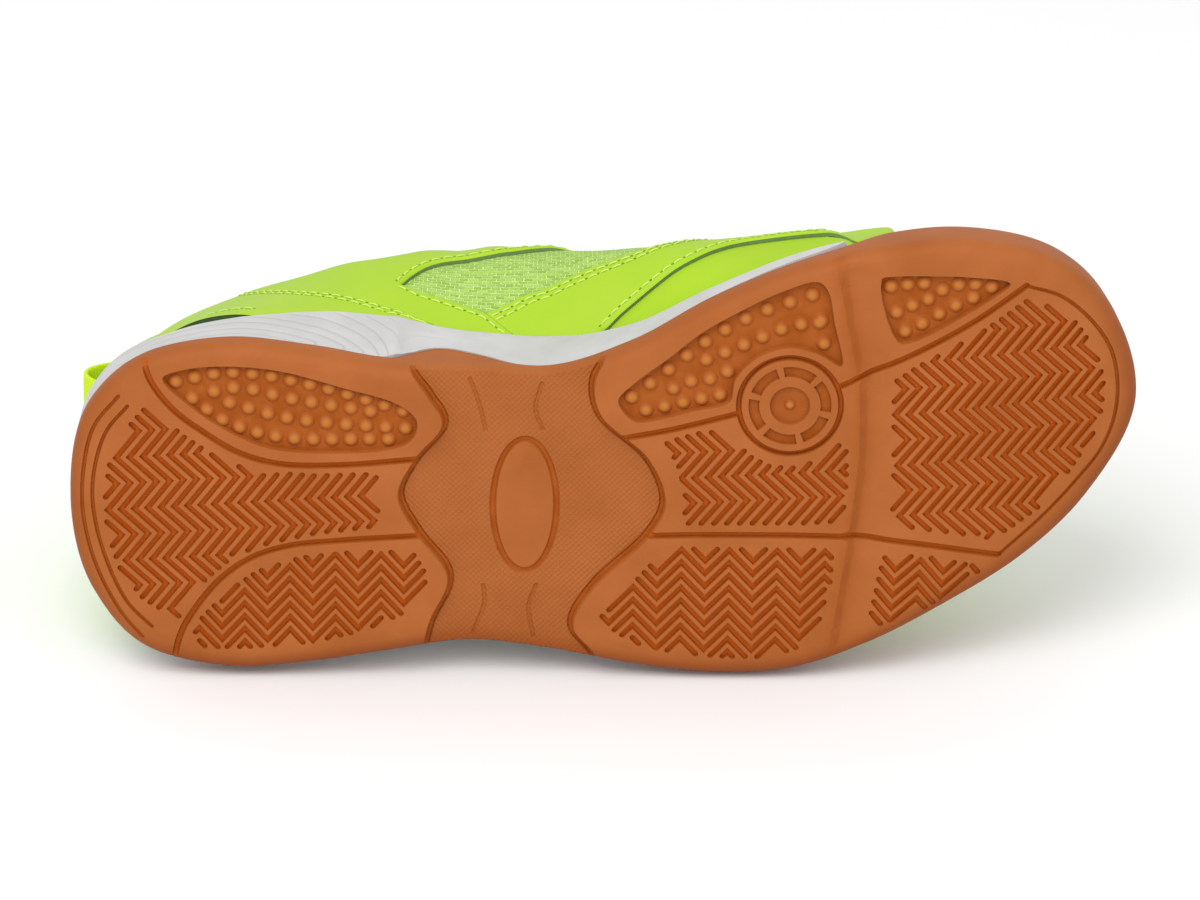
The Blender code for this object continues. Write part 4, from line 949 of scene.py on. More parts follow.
# Painted shade: the fine pressed lines are painted darker, standing for the shade inside them
LINE_WIDE, LINE_SHADE_COLOUR = 0.085, (0.44, 0.435, 0.43)
foam = Finish("white_foam", (0.66, 0.655, 0.65), 0.55, 0.35)
tone = foam.mottle((0.475, 0.47, 0.465), (0.54, 0.535, 0.53), 0.09, 5.0, 0.65, stops=(0.32, 0.66))
apart = foam.math("PINGPONG", foam.layer("press"), 0.5)
thin_line = foam.spread(apart, from_max=LINE_WIDE, to_min=1.0, to_max=0.0)
thin_line = foam.math("MULTIPLY", thin_line, foam.layer("pressed"))
foam.join(foam.mix(thin_line, tone, LINE_SHADE_COLOUR))
skin = foam.math("MULTIPLY", foam.noise(2.2, 4.0), 0.08)
foam.bump(foam.math("SUBTRACT", skin, thin_line), 0.4, 0.0003)
midsole.data.materials.append(foam.material)
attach(midsole, "root")
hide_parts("midsole")


# Insole: a thin cushion with a dark cloth face, laid loose in the midsole's dish. Its edge is rounded
# and its middle is hollowed a little by the foot.
INSOLE_EDGE = (
    # inset, height
    (0.0, 0.0),
    (0.0, 0.6),
    (0.15, 1.6),
    (0.5, 2.6),
    (0.9, 3.1),
    (1.6, 3.4),
    (6.0, 3.35),
    (11.0, 3.2),
)
bed_inset = dish + DISH_WALL + GAP
pad_rows = [ring(everywhere[::2], bed_inset + inset, BED_Z + GAP + height) for inset, height in INSOLE_EDGE]
pad_points = np.vstack(pad_rows)
pad_points[:, 2] += spring(pad_points[:, 0])
pad_size = COUNT // 2
pad_faces = bands(len(pad_rows), pad_size) + rungs(0, pad_size)
pad_faces += rungs((len(pad_rows) - 1) * pad_size, pad_size)
insole = piece("insole_pad", pad_points, pad_faces, 60.0)
lining = Finish("lining_cloth", (0.05, 0.055, 0.06), 0.9, 0.2)
weave = lining.node("TexBrick", offset=0.5, feeds={
    "Vector": lining.place, "Scale": 1.0, "Brick Width": 0.9, "Row Height": 0.45, "Mortar Size": 0.08,
    "Color1": (0.052, 0.057, 0.062), "Color2": (0.040, 0.045, 0.050), "Mortar": (0.016, 0.018, 0.020)})
lining.join(weave.outputs["Color"])
lining.bump(weave.outputs["Fac"], 0.4, 0.0002, invert=True)
lining.shader.inputs["Sheen Weight"].default_value = 0.2
insole.data.materials.append(lining.material)
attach(insole, "root")
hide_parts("insole")


# Upper: one wall of cloth over the last, padded at the collar and lined with dark cloth. It shows as
# knitted mesh in the side windows and as smooth coated cloth below the saddle and round the toe.
HEEL_HEIGHT = 66.0
INSTEP_HEIGHT = 69.3
UPPER_RIBS = (
    # share, rim_x, rim_half, rim_z, lean_medial, lean_lateral, arrive, rim_wall
    (0.00, 9.0, 0.0, 1.000, -4, -4, 14, 4.5),
    (0.07, 12.0, 7.4, 0.985, -16, -16, 16, 4.8),
    (0.14, 20.0, 15.0, 0.930, -20, -16, 16, 5.2),
    (0.20, 31.5, 20.8, 0.870, -11, -8, 12, 5.2),
    (0.26, 44.5, 25.0, 0.832, 0, -2, 8, 5.2),
    (0.31, 56.5, 27.5, 0.838, 10, 2, 6, 5.0),
    (0.36, 68.0, 27.3, 0.876, 17, 6, 10, 4.6),
    (0.40, 77.0, 24.6, 0.933, 21, 8, 24, 4.0),
    (0.44, 85.0, 21.0, 1.000, 27, 8, 42, 3.2),
    (0.50, 95.0, 16.6, 1.000, 31, 7, 55, 2.6),
    (0.56, 107.0, 13.6, 0.938, 27, 4, 60, 2.4),
    (0.64, 120.0, 11.4, 0.862, -3, -4, 66, 2.2),
    (0.72, 131.0, 9.4, 0.800, -11, -12, 70, 2.0),
    (0.82, 138.0, 6.5, 0.757, -4, -14, 78, 2.0),
    (0.91, 141.0, 3.4, 0.738, -22, -22, 78, 2.0),
    (1.00, 142.0, 0.0, 0.733, -22, -22, 78, 2.0),
)
RIM_X, RIM_HALF, RIM_Z, LEAN_MEDIAL, LEAN_LATERAL, ARRIVE, RIM_WALL = range(1, 8)
FOOT_PULL, RIM_PULL = 0.38, 0.40
WALL = 2.0
INSTEP_RISE, COLLAR_PAD, AXIS_BEND, CALM_STEPS = (0.30, 0.44), (0.55, 0.95), 1.2, 40


def axis_y(x):
    """The foot's axis, which swings to the medial side towards the toe."""
    swing = (TOE_POINT[1] - HEEL_POINT[1]) * BALL_WIDTH
    return HEEL_POINT[1] * BALL_WIDTH + swing * np.clip(x / LENGTH, 0.0, None) ** AXIS_BEND


foot = np.column_stack([EDGE - OUT * feather[:, None], TOP + GAP])
foot[:, 2] += spring(foot[:, 0])
rim_x = read(UPPER_RIBS, RIM_X, SHARE)
rim_y = axis_y(rim_x) + np.where(LATERAL, 1.0, -1.0) * np.clip(read(UPPER_RIBS, RIM_HALF, SHARE), 0.0, None)
rim_tall = HEEL_HEIGHT + (INSTEP_HEIGHT - HEEL_HEIGHT) * ease(*INSTEP_RISE, SHARE)
rim = np.column_stack([rim_x, rim_y, read(UPPER_RIBS, RIM_Z, SHARE) * rim_tall])
rib_long = np.linalg.norm(rim - foot, axis=1)[:, None]
lean = np.radians(sided(UPPER_RIBS, LEAN_MEDIAL, LEAN_LATERAL, SHARE))[:, None]
arrive = np.radians(read(UPPER_RIBS, ARRIVE, SHARE))[:, None]
calm = sum(np.roll(OUT, k, axis=0) for k in range(-CALM_STEPS, CALM_STEPS + 1))
calm = np.column_stack([unit(calm), np.zeros(COUNT)])
up = np.array([0.0, 0.0, 1.0])
RIBS = (foot, foot + rib_long * FOOT_PULL * (np.cos(lean) * up + np.sin(lean) * calm),
        rim + rib_long * RIM_PULL * (np.sin(arrive) * calm - np.cos(arrive) * up), rim)


def on_last(place, height):
    """Points of the upper's outer face; place runs round the shoe, height from sole to rim."""
    at = np.mod(np.asarray(place, float), 2.0) * STEPS
    knots = [round_shoe(k, at) for k in RIBS]
    v = np.asarray(height, float)[..., None]
    w = 1 - v
    return w**3 * knots[0] + 3 * w * w * v * knots[1] + 3 * w * v * v * knots[2] + v**3 * knots[3]


def out_of_last(place, height):
    """Outward unit normals of the upper's outer face, level at the sole."""
    place, height = np.broadcast_arrays(np.asarray(place, float), np.asarray(height, float))
    high = np.clip(height + 0.01, 0.0, 1.0)
    deep = np.clip(height - 0.01, 0.0, 1.0)
    round_way = on_last(place + 0.004, height) - on_last(place - 0.004, height)
    normal = np.cross(round_way, on_last(place, high) - on_last(place, deep))
    normal[..., 2] *= ease(0.0, 0.03, height)
    return unit(normal)


UPPER_ROWS, CREST_ROWS = 44, 5
CREST_HIGH = 1.1
SKIRT_IN, SKIRT_DOWN = 0.1, 3.4
wall_places = PLACE[::2]
rim_thick = read(UPPER_RIBS, RIM_WALL, SHARE)[::2]
outer_rows, inner_rows = [], []
for level in np.linspace(0.0, 1.0, UPPER_ROWS):
    face = on_last(wall_places, np.full(len(wall_places), level))
    normal = out_of_last(wall_places, np.full(len(wall_places), level))
    thick = WALL + (rim_thick - WALL) * ease(*COLLAR_PAD, level)
    outer_rows.append(face)
    inner_rows.append(face - normal * thick[:, None])
rise = unit(outer_rows[-1] - outer_rows[-2]) * CREST_HIGH
crest_rows = []
for turn in np.linspace(0.0, math.pi, CREST_ROWS + 2)[1:-1]:
    across = (1 - math.cos(turn)) / 2
    crest_rows.append(outer_rows[-1] * (1 - across) + inner_rows[-1] * across + rise * math.sin(turn))
skirt = ring(everywhere[::2], feather + SKIRT_IN, TOP + GAP - SKIRT_DOWN)
skirt[:, 2] += spring(skirt[:, 0])
outer_rows.insert(0, skirt)
wall_loops = outer_rows + crest_rows + inner_rows[::-1]
wall_size = len(wall_places)
wall_points = np.vstack(wall_loops)
wall_faces = bands(len(wall_loops), wall_size, closed=True)
QUARTER_FRONT = ((124.0, 51.0), (113.0, 54.0), (101.0, 56.4), (92.0, 55.6), (85.0, 53.2), (79.8, 51.8),
                 (74.6, 50.2), (70.6, 47.7), (67.6, 44.4), (65.2, 40.2), (69.8, 37.0), (74.1, 35.0),
                 (78.7, 32.5), (83.2, 30.3), (86.1, 27.5), (89.0, 24.6))
WINDOW_TIP, WINDOW_FOOT = 9, 13
SADDLE_REAR = ((83.2, 30.3), (87.0, 33.0), (92.3, 36.4), (98.3, 37.0), (104.5, 36.0), (110.5, 35.0),
               (116.4, 34.8), (121.5, 36.6), (126.0, 41.0), (129.5, 47.0))
WINDOW_SPARE = 2.5
window = shrink(np.array(QUARTER_FRONT[:WINDOW_FOOT] + SADDLE_REAR), -WINDOW_SPARE)
knit_mask = within(wall_points[:, [0, 2]], window).astype(float)
rib_steps = np.linalg.norm(np.diff(np.array(outer_rows), axis=0), axis=2)
rib_run = np.vstack([np.zeros(wall_size), np.cumsum(rib_steps, axis=0)]).ravel()
rib_run = np.r_[rib_run, np.zeros(len(wall_points) - len(rib_run))]
upper = piece("upper_wall", wall_points, wall_faces, 60.0, knit=knit_mask, rib=rib_run)
COAT_TONES = ((0.345, 0.55, 0.023), (0.38, 0.58, 0.030))
mesh_cloth = Finish("neon_mesh", (0.45, 0.70, 0.10), 0.8, 0.12)
knit = mesh_cloth.layer("knit")
from_heel = mesh_cloth.node("SeparateXYZ", {"Vector": mesh_cloth.place}).outputs["X"]
sideways = mesh_cloth.node("CombineXYZ", {"X": from_heel, "Y": mesh_cloth.layer("rib")}).outputs["Vector"]
wander = mesh_cloth.noise(0.7, 3.0, output="Color", place=sideways)
wavy = mesh_cloth.node("VectorMath", {0: wander, "Scale": 0.9}, operation="SCALE").outputs["Vector"]
loops = mesh_cloth.node("VectorMath", {0: sideways, 1: wavy}, operation="ADD").outputs["Vector"]
knots = mesh_cloth.node("TexBrick", offset=0.5, feeds={
    "Vector": loops, "Scale": 1.0, "Brick Width": 1.9, "Row Height": 1.1, "Mortar Size": 0.24,
    "Mortar Smooth": 0.9, "Mortar": (0.61, 0.83, 0.275), "Color1": (0.40, 0.615, 0.120),
    "Color2": (0.27, 0.435, 0.065)})
mesh_cloth.join(mesh_cloth.mix(knit, mesh_cloth.mottle(*COAT_TONES, 0.06), knots.outputs["Color"]))
mesh_cloth.bump(mesh_cloth.math("MULTIPLY", knots.outputs["Fac"], knit), 0.85, 0.0003)
upper.data.materials.append(mesh_cloth.material)
upper.data.materials.append(lining.material)
lined = np.zeros(len(wall_faces), np.int32)
lined[(len(outer_rows) + CREST_ROWS // 2) * wall_size:] = 1
upper.data.polygons.foreach_set("material_index", lined)
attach(upper, "root")
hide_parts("upper")


# Overlays: panels of smooth coated synthetic, cut from sheet about a millimetre thick and sewn onto
# the upper: counter, quarters and saddles. Their cut edges show the darker backing cloth.
OVERLAY = 1.0
QUARTER_BACK = ((72.4, 26.4), (67.0, 28.9), (63.8, 30.1), (59.6, 31.8), (55.8, 33.1), (52.1, 34.5),
                (48.5, 36.5), (44.9, 39.4), (41.3, 43.2), (37.1, 48.7), (33.9, 54.6), (33.0, 56.2))
QUARTER_TOP = ((36.0, 55.6), (44.5, 53.6), (56.5, 54.0), (66.0, 56.8), (75.0, 61.6), (83.0, 67.0),
               (94.0, 71.0), (107.0, 66.6), (120.0, 61.0), (126.0, 58.5))
SADDLE_FRONT = ((136.0, 50.0), (150.0, 48.0), (160.0, 44.0), (166.0, 36.0), (167.0, 20.0))
SADDLE_HOLLOW = ((161.6, 19.0), (158.0, 23.2), (152.4, 27.4), (146.6, 30.6), (140.5, 32.2), (135.2, 31.8),
                 (130.2, 28.4), (125.4, 25.0), (120.0, 23.0), (115.3, 21.9), (110.4, 20.8), (107.1, 19.6))
COUNTER_TOP = 55.0
FOOT_TUCK, RIM_KEEP = -0.06, 0.985
TUCK_MM, TUCK_IN = 68.0, 0.15
SEAM = np.array([0.0, 0.12])
LAST_MM = np.array([250.0, 50.0])
PANEL_STEP, PANEL_GRID, PANEL_CLEAR, PANEL_BACK = 0.9, 2.4, 1.4, 0.05
DARK_REACH, DARK_WALL, DARK_FACE = 0.75, 0.1, 0.02
PANEL_EDGE = (
    # inset, stand at a cut edge, stand at a seam
    (0.0, 0.80, 1.16),
    (0.14, 1.02, 1.25),
    (0.60, 1.30, 1.30),
)

synthetic = Finish("neon_synthetic", (0.41, 0.66, 0.017), 0.5, 0.15)
synthetic.join(synthetic.mottle(*COAT_TONES, 0.045, stops=(0.3, 0.7)))
grain = synthetic.node("TexVoronoi", {"Vector": synthetic.place, "Scale": 1.6}, feature="SMOOTH_F1")
synthetic.bump(grain.outputs["Distance"], 0.12, 0.0002)
cut_edge = Finish("cut_edge", (0.17, 0.30, 0.07), 0.8, 0.2)
cut_edge.join(cut_edge.mottle((0.085, 0.155, 0.045), (0.16, 0.26, 0.08), 1.5))
SEARCH_PLACES, SEARCH_HEIGHTS = np.arange(0.01, 0.99, 0.005), np.arange(-0.02, 0.99, 0.01)
SEARCH_ROUNDS, NEAR = 6, 1e-4


def to_last(line, sign):
    """Places and heights on the last of a line that is drawn from the side."""
    line = np.asarray(line, float)

    def seen(spots):
        return on_last(-sign * spots[:, 0], spots[:, 1])[:, [0, 2]]

    grid = np.array([(p, h) for p in SEARCH_PLACES for h in SEARCH_HEIGHTS])
    from_side = seen(grid)
    spots = grid[[int(np.argmin(((from_side - point) ** 2).sum(axis=1))) for point in line]]
    for _ in range(SEARCH_ROUNDS):
        here = seen(spots)
        along = (seen(spots + (NEAR, 0.0)) - here) / NEAR
        upward = (seen(spots + (0.0, NEAR)) - here) / NEAR
        off = line - here
        cross = along[:, 0] * upward[:, 1] - along[:, 1] * upward[:, 0]
        cross = np.where(abs(cross) < 1e-3, 1e-3, cross)
        step = np.column_stack([off[:, 0] * upward[:, 1] - off[:, 1] * upward[:, 0],
                                along[:, 0] * off[:, 1] - along[:, 1] * off[:, 0]]) / cross[:, None]
        nearer = np.clip(spots + np.clip(step, -0.01, 0.01), (0.005, -0.03), (0.995, RIM_KEEP))
        better = ((line - seen(nearer)) ** 2).sum(axis=1) < (off**2).sum(axis=1)
        spots = np.where(better[:, None], nearer, spots)
    return spots * (-sign, 1.0)


def down_last(spots):
    """Points and normals of the last's outer face, which goes straight down below the foot."""
    tall = np.clip(spots[:, 1], 0.0, 1.0)
    normal = out_of_last(spots[:, 0], tall)
    under = np.clip(-spots[:, 1], 0.0, None)[:, None] * TUCK_MM
    return on_last(spots[:, 0], tall) - under * (up + normal * TUCK_IN), normal


def slab_grid(outer, inner):
    """A closed sheet between two grids with the same rows and columns."""
    rows, cols = outer.shape[:2]
    points = np.vstack([outer.reshape(-1, 3), inner.reshape(-1, 3)])
    back = rows * cols
    faces = []
    for r in range(rows - 1):
        for c in range(cols - 1):
            a, b = r * cols + c, r * cols + c + 1
            faces.append((a, b, b + cols, a + cols))
            faces.append((back + a, back + a + cols, back + b + cols, back + b))
    edge = list(range(cols)) + [r * cols + cols - 1 for r in range(1, rows)]
    edge += [(rows - 1) * cols + c for c in range(cols - 2, -1, -1)]
    edge += [r * cols for r in range(rows - 2, 0, -1)]
    faces += [(a, back + a, back + b, b) for a, b in zip(edge, edge[1:] + edge[:1])]
    return points, faces


def panel(name, outline, dark):
    """A sheet on the last inside an outline of places and heights, with its edges rounded over."""
    flat = np.asarray(outline) * LAST_MM
    flat = np.vstack([flat, flat[:1]])
    long = np.linalg.norm(np.diff(flat, axis=0), axis=1).sum()
    flat = even(flat, int(long / PANEL_STEP))[:-1]
    low, high = flat.min(axis=0), flat.max(axis=0)
    grid = np.array([(x, y) for x in np.arange(low[0], high[0], PANEL_GRID)
                     for y in np.arange(low[1], high[1], PANEL_GRID)])
    grid = grid[within(grid, shrink(flat, PANEL_CLEAR))]
    kept, triangles = divided([shrink(flat, row[0]) for row in PANEL_EDGE], grid, flat, 1e-5)
    inset = distance(kept, flat)
    edge = np.asarray(PANEL_EDGE)
    to_dark = np.full(len(kept), np.inf)
    for line in dark:
        to_dark = np.minimum(to_dark, distance(kept, line * LAST_MM, closed=False))
    cut_stand, seam_stand = [np.interp(inset, edge[:, 0], edge[:, k]) for k in (1, 2)]
    stand = np.where(to_dark < DARK_REACH, cut_stand, seam_stand)
    face, normal = down_last(kept / LAST_MM)
    rim_edges = sorted(open_edges(triangles))
    back = len(kept)
    faces = [tuple(tri) for tri in triangles] + [tuple(back + tri[::-1]) for tri in triangles]
    faces += [(b, a, back + a, back + b) for a, b in rim_edges]
    dark_face = [int(to_dark[tri].max() < DARK_FACE) for tri in triangles] + [0] * len(triangles)
    dark_face += [int(max(to_dark[a], to_dark[b]) < DARK_WALL) for a, b in rim_edges]
    sheet = piece(name, np.vstack([face + normal * stand[:, None], face + normal * PANEL_BACK]),
                  [tuple(int(i) for i in f) for f in faces])
    sheet.data.materials.append(synthetic.material)
    sheet.data.materials.append(cut_edge.material)
    sheet.data.polygons.foreach_set("material_index", np.array(dark_face, np.int32))
    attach(sheet, "root")
    return sheet


def tucked(spot):
    """The spot below, where a panel goes down between upper and midsole."""
    return np.array([spot[0], FOOT_TUCK])


heel_seams = {}
for side, sign in (("medial", -1.0), ("lateral", 1.0)):
    back = to_last(curve(QUARTER_BACK, 6), sign)
    top = to_last(curve(QUARTER_TOP, 6), sign)
    front = to_last(curve(QUARTER_FRONT[:WINDOW_TIP + 1], 6), sign)
    low = to_last(curve(QUARTER_FRONT[WINDOW_TIP:], 6), sign)
    heel_seams[side] = back - SEAM / LAST_MM
    quarter = panel("quarter_" + side + "_panel",
                    np.vstack([tucked(back[0]), back, top, front, low[1:], tucked(low[-1])]), [front])
    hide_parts("quarter_" + side)
    shared = low[(WINDOW_FOOT - WINDOW_TIP) * 6:] + SEAM / LAST_MM * (-sign, 1.0)
    rear = to_last(curve(SADDLE_REAR, 6)[2:], sign)
    ahead = to_last(curve(SADDLE_FRONT, 6), sign)
    hollow = to_last(curve(SADDLE_HOLLOW, 6), sign)
    saddle = panel("saddle_" + side + "_panel",
                   np.vstack([tucked(shared[-1]), shared[::-1], rear, ahead, tucked(ahead[-1]),
                              tucked(hollow[0]), hollow, tucked(hollow[-1])]), [hollow])
    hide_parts("saddle_" + side)
inner, outer = heel_seams["medial"], heel_seams["lateral"]
rise = np.linspace(0.0, 1.0, 81)
over_heel = np.linspace(inner[-1, 0], outer[-1, 0], 60)[1:-1]
heel_top = [np.interp(COUNTER_TOP, on_last(np.full(81, p), rise)[:, 2], rise) for p in over_heel]
counter = panel("heel_counter_panel", np.vstack([tucked(outer[0]), tucked(inner[0]), inner,
                                                 np.column_stack([over_heel, heel_top]), outer[::-1]]), [])
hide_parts("heel_counter")


# Heel slit: the dark gap on the inner side of the heel, where the counter's foot stands off the foam.
# A thin dark strip over the counter's foot stands for the shadow in the gap.
SLIT_FROM, SLIT_TO, SLIT_OPEN = 18.5, 36.5, 3.0
SLIT_BELOW, SLIT_PROUD, SLIT_SUNK = 0.3, 0.12, 0.3
slit_run = np.flatnonzero(~LATERAL & (EDGE[:, 0] > SLIT_FROM) & (EDGE[:, 0] < SLIT_TO))
slit_size = len(slit_run)
slit_low = (foam_top - SLIT_BELOW - TOP - GAP)[slit_run] / TUCK_MM
slit_high = slit_low + SLIT_OPEN / TUCK_MM * np.sin(np.linspace(0.02, 0.98, slit_size) * math.pi) ** 0.7
slit_face, slit_out = down_last(np.column_stack([np.tile(PLACE[slit_run], 2), np.r_[slit_low, slit_high]]))
slit_front, slit_back = [(slit_face + slit_out * (GAP + OVERLAY + off)).reshape(2, slit_size, 3)
                         for off in (SLIT_PROUD, -SLIT_SUNK)]
slit = piece("heel_slit", *slab_grid(slit_front, slit_back), 60.0)
gap_shade = Finish("slit_shadow", (0.03, 0.055, 0.02), 0.9, 0.05)
gap_shade.join(gap_shade.mottle((0.018, 0.035, 0.015), (0.05, 0.09, 0.035), 0.6, 2.0))
slit.data.materials.append(gap_shade.material)
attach(slit, "root")


# Stitches: lock stitches of pale thread along the panels' edges, two rows at the counter and the rear
# of the saddle and one elsewhere. A small dark disc at the end of each stitch stands for the shade in its
# needle hole.
STITCH_PITCH, STITCH_LONG, STITCH_THICK, STITCH_FLAT = 2.8, 2.2, 0.20, 0.8
STITCH_FIRST, STITCH_SIDES = 0.4, 6
STITCH_PROFILE = (
    # share of the stitch, stand over the panel, share of the thickness
    (0.0, -0.10, 0.6),
    (0.2, 0.10, 1.0),
    (0.5, 0.16, 1.1),
    (0.8, 0.10, 1.0),
    (1.0, -0.10, 0.6),
)
HOLE_WIDE, HOLE_LONG, HOLE_STAND, HOLE_ON, HOLE_DEEP, HOLE_SIDES = 0.24, 0.34, 0.15, 0.2, 0.2, 8
SLIT_SEAM = ((25.6, 26.3), (29.0, 26.4), (33.0, 25.4), (36.0, 24.4))
STITCH_LINES = (
    # line as drawn from the side, with its rows on the right hand
    (curve(QUARTER_BACK[::-1], 8), (1.1, 2.5)),
    (curve(QUARTER_FRONT[:WINDOW_TIP + 1], 8), (1.3,)),
    (curve(QUARTER_FRONT[WINDOW_TIP:], 8), (1.4,)),
    (curve(SADDLE_REAR, 8), (1.3, 2.7)),
    (curve(SADDLE_HOLLOW[2:], 8), (1.4,)),
    (curve(SLIT_SEAM, 8), (0.0,)),
)


def row_beside(line, offset, sign):
    """A row on the panels beside a line that is drawn from the side, with the normals there."""
    def laid(drawn):
        place, height = to_last(drawn, sign).T
        return on_last(place, height), out_of_last(place, np.clip(height, 0.0, 1.0))

    face, normal = laid(line)
    out = unit(np.cross(normal, np.gradient(face, axis=0)))
    drawn = np.gradient(line, axis=0)
    turn = np.sign(np.sum(out[:, 0] * drawn[:, 1] - out[:, 2] * drawn[:, 0]))
    face, normal = laid((face + out * offset * turn)[:, [0, 2]])
    return face + normal * (GAP + OVERLAY), normal


def wheel(centre, first, second, count):
    """Points round a centre, on an ellipse with the given half axes."""
    turn = np.linspace(0.0, 2 * math.pi, count, endpoint=False)[:, None]
    return centre + np.cos(turn) * first + np.sin(turn) * second


def capped(rows, size, start=0):
    """Faces of a tube of loops that is closed at both ends."""
    last = start + (rows - 1) * size
    return bands(rows, size, start) + [tuple(range(start, start + size)), tuple(range(last, last + size))]


def sew(spots, normals, thread, holes):
    """Adds the stitches along a line on a surface."""
    share, stand, fat = np.array(STITCH_PROFILE).T
    run = np.r_[0.0, np.cumsum(np.linalg.norm(np.diff(spots, axis=0), axis=1))]
    for start in np.arange(STITCH_FIRST, run[-1] - STITCH_LONG, STITCH_PITCH):
        at = start + STITCH_LONG * share
        p = np.column_stack([np.interp(at, run, spots[:, k]) for k in range(3)])
        n = unit(np.column_stack([np.interp(at, run, normals[:, k]) for k in range(3)]))
        t = unit(np.gradient(p, axis=0))
        b = np.cross(n, t)
        p = p + n * stand[:, None]
        thread[1].extend(capped(len(share), STITCH_SIDES, len(thread[0])))
        for k, wide in enumerate(STITCH_THICK * fat):
            thread[0].extend(wheel(p[k], b[k] * wide, n[k] * wide * STITCH_FLAT, STITCH_SIDES))
        spot = p[-1] + n[-1] * HOLE_STAND + t[-1] * HOLE_ON
        holes[1].extend(capped(2, HOLE_SIDES, len(holes[0])))
        for deep in (0.0, HOLE_DEEP):
            holes[0].extend(wheel(spot - n[-1] * deep, b[-1] * HOLE_WIDE, t[-1] * HOLE_LONG, HOLE_SIDES))


thread, holes = ([], []), ([], [])
for sign in (-1.0, 1.0):
    for line, offsets in STITCH_LINES:
        for offset in offsets:
            sew(*row_beside(line, offset, sign), thread, holes)
stitches = piece("stitches", np.array(thread[0]), thread[1], 60.0)
pale_thread = Finish("pale_thread", (0.70, 0.90, 0.22), 0.6, 0.3)
pale_thread.join(pale_thread.mottle((0.46, 0.66, 0.07), (0.62, 0.78, 0.20), 3.0, 2.0))
stitches.data.materials.append(pale_thread.material)
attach(stitches, "root")
pricks = piece("needle_holes", np.array(holes[0]), holes[1], 60.0)
shadow = Finish("needle_hole", (0.16, 0.26, 0.02), 0.9, 0.1)
shadow.join(shadow.mottle((0.08, 0.15, 0.01), (0.24, 0.38, 0.03), 1.0, 1.0))
pricks.data.materials.append(shadow.material)
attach(pricks, "root")


# Tongue: a padded tab of knitted mesh, sewn under the vamp and free at its top. It lies under the
# lace, between the two quarters.
TONGUE_SECTIONS = (
    # x, height, half, droop
    (152.0, 46.4, 11.0, 0.9),
    (140.0, 49.0, 14.0, 1.5),
    (124.0, 56.0, 17.0, 4.2),
    (106.0, 64.0, 19.0, 7.5),
    (90.0, 70.0, 18.6, 6.2),
    (78.0, 76.5, 16.8, 4.8),
    (68.0, 83.5, 16.0, 4.0),
)
TONGUE_THICK, TONGUE_EDGE, TONGUE_ROUND = 3.2, 0.45, 0.3
TONGUE_ACROSS, TONGUE_LONG = 31, 56
tongue_rows = even(curve(np.asarray(TONGUE_SECTIONS, float), 8), TONGUE_LONG)
across = np.sin(np.linspace(-1.0, 1.0, TONGUE_ACROSS) * math.pi / 2)[None, :]
tongue_x = tongue_rows[:, 0:1] + 0 * across
tongue_face = np.stack([tongue_x, axis_y(tongue_x) + tongue_rows[:, 2:3] * across,
                        tongue_rows[:, 1:2] - tongue_rows[:, 3:4] * across**2], axis=-1)
normal = unit(np.cross(np.gradient(tongue_face, axis=0), np.gradient(tongue_face, axis=1)))
normal *= np.sign(normal[..., 2:3])
end_run = np.linspace(0.0, 1.0, len(tongue_rows))[:, None]
blunt = np.sqrt(np.clip(1 - across**2, 0.0, 1.0))
blunt = blunt * np.sqrt(np.clip(1 - ease(0.96, 1.0, end_run) ** 2, 0.05, 1.0))
thin = TONGUE_THICK * (TONGUE_EDGE + (1 - TONGUE_EDGE) * blunt)
round_over = TONGUE_THICK * TONGUE_EDGE * TONGUE_ROUND * (1 - blunt)
tongue = piece("tongue_pad", *slab_grid(tongue_face - normal * round_over[..., None],
                                        tongue_face - normal * (thin - round_over)[..., None]), 70.0,
               knit=np.ones(2 * tongue_x.size), rib=np.tile((tongue_rows[:, 2:3] * across).ravel(), 2))
tongue.data.materials.append(mesh_cloth.material)
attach(tongue, "root")
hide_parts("tongue")


# Lace: one flat woven cord that crosses the throat between five pairs of eyelets and goes down
# through them. Its ends stop under the top eyelets.
LACE_WIDTH, LACE_THICK = 5.0, 1.5
LACE_SHARES = (0.48, 0.525, 0.575, 0.63, 0.695)
LACE_HEIGHT, LACE_CROWN, LACE_STAND, LACE_SUNK = 0.96, 3.6, 3.0, -0.8
LACE_STEPS, LACE_SIDES = 30, 12
LACE_OVER, LACE_NARROW, LACE_DIP = 0.85, 0.45, 0.06


def eyelet(share, sign, stand):
    place, height = np.array(sign * share), np.array(LACE_HEIGHT)
    return on_last(place, height) + out_of_last(place, height) * stand


def soft_section(width, thick, power, count):
    """Offsets across and up, round a flat section with soft corners."""
    turn = np.linspace(0.0, 2 * math.pi, count, endpoint=False)
    way = np.column_stack([np.cos(turn), np.sin(turn)])
    return np.sign(way) * abs(way) ** power * (width / 2, thick / 2)


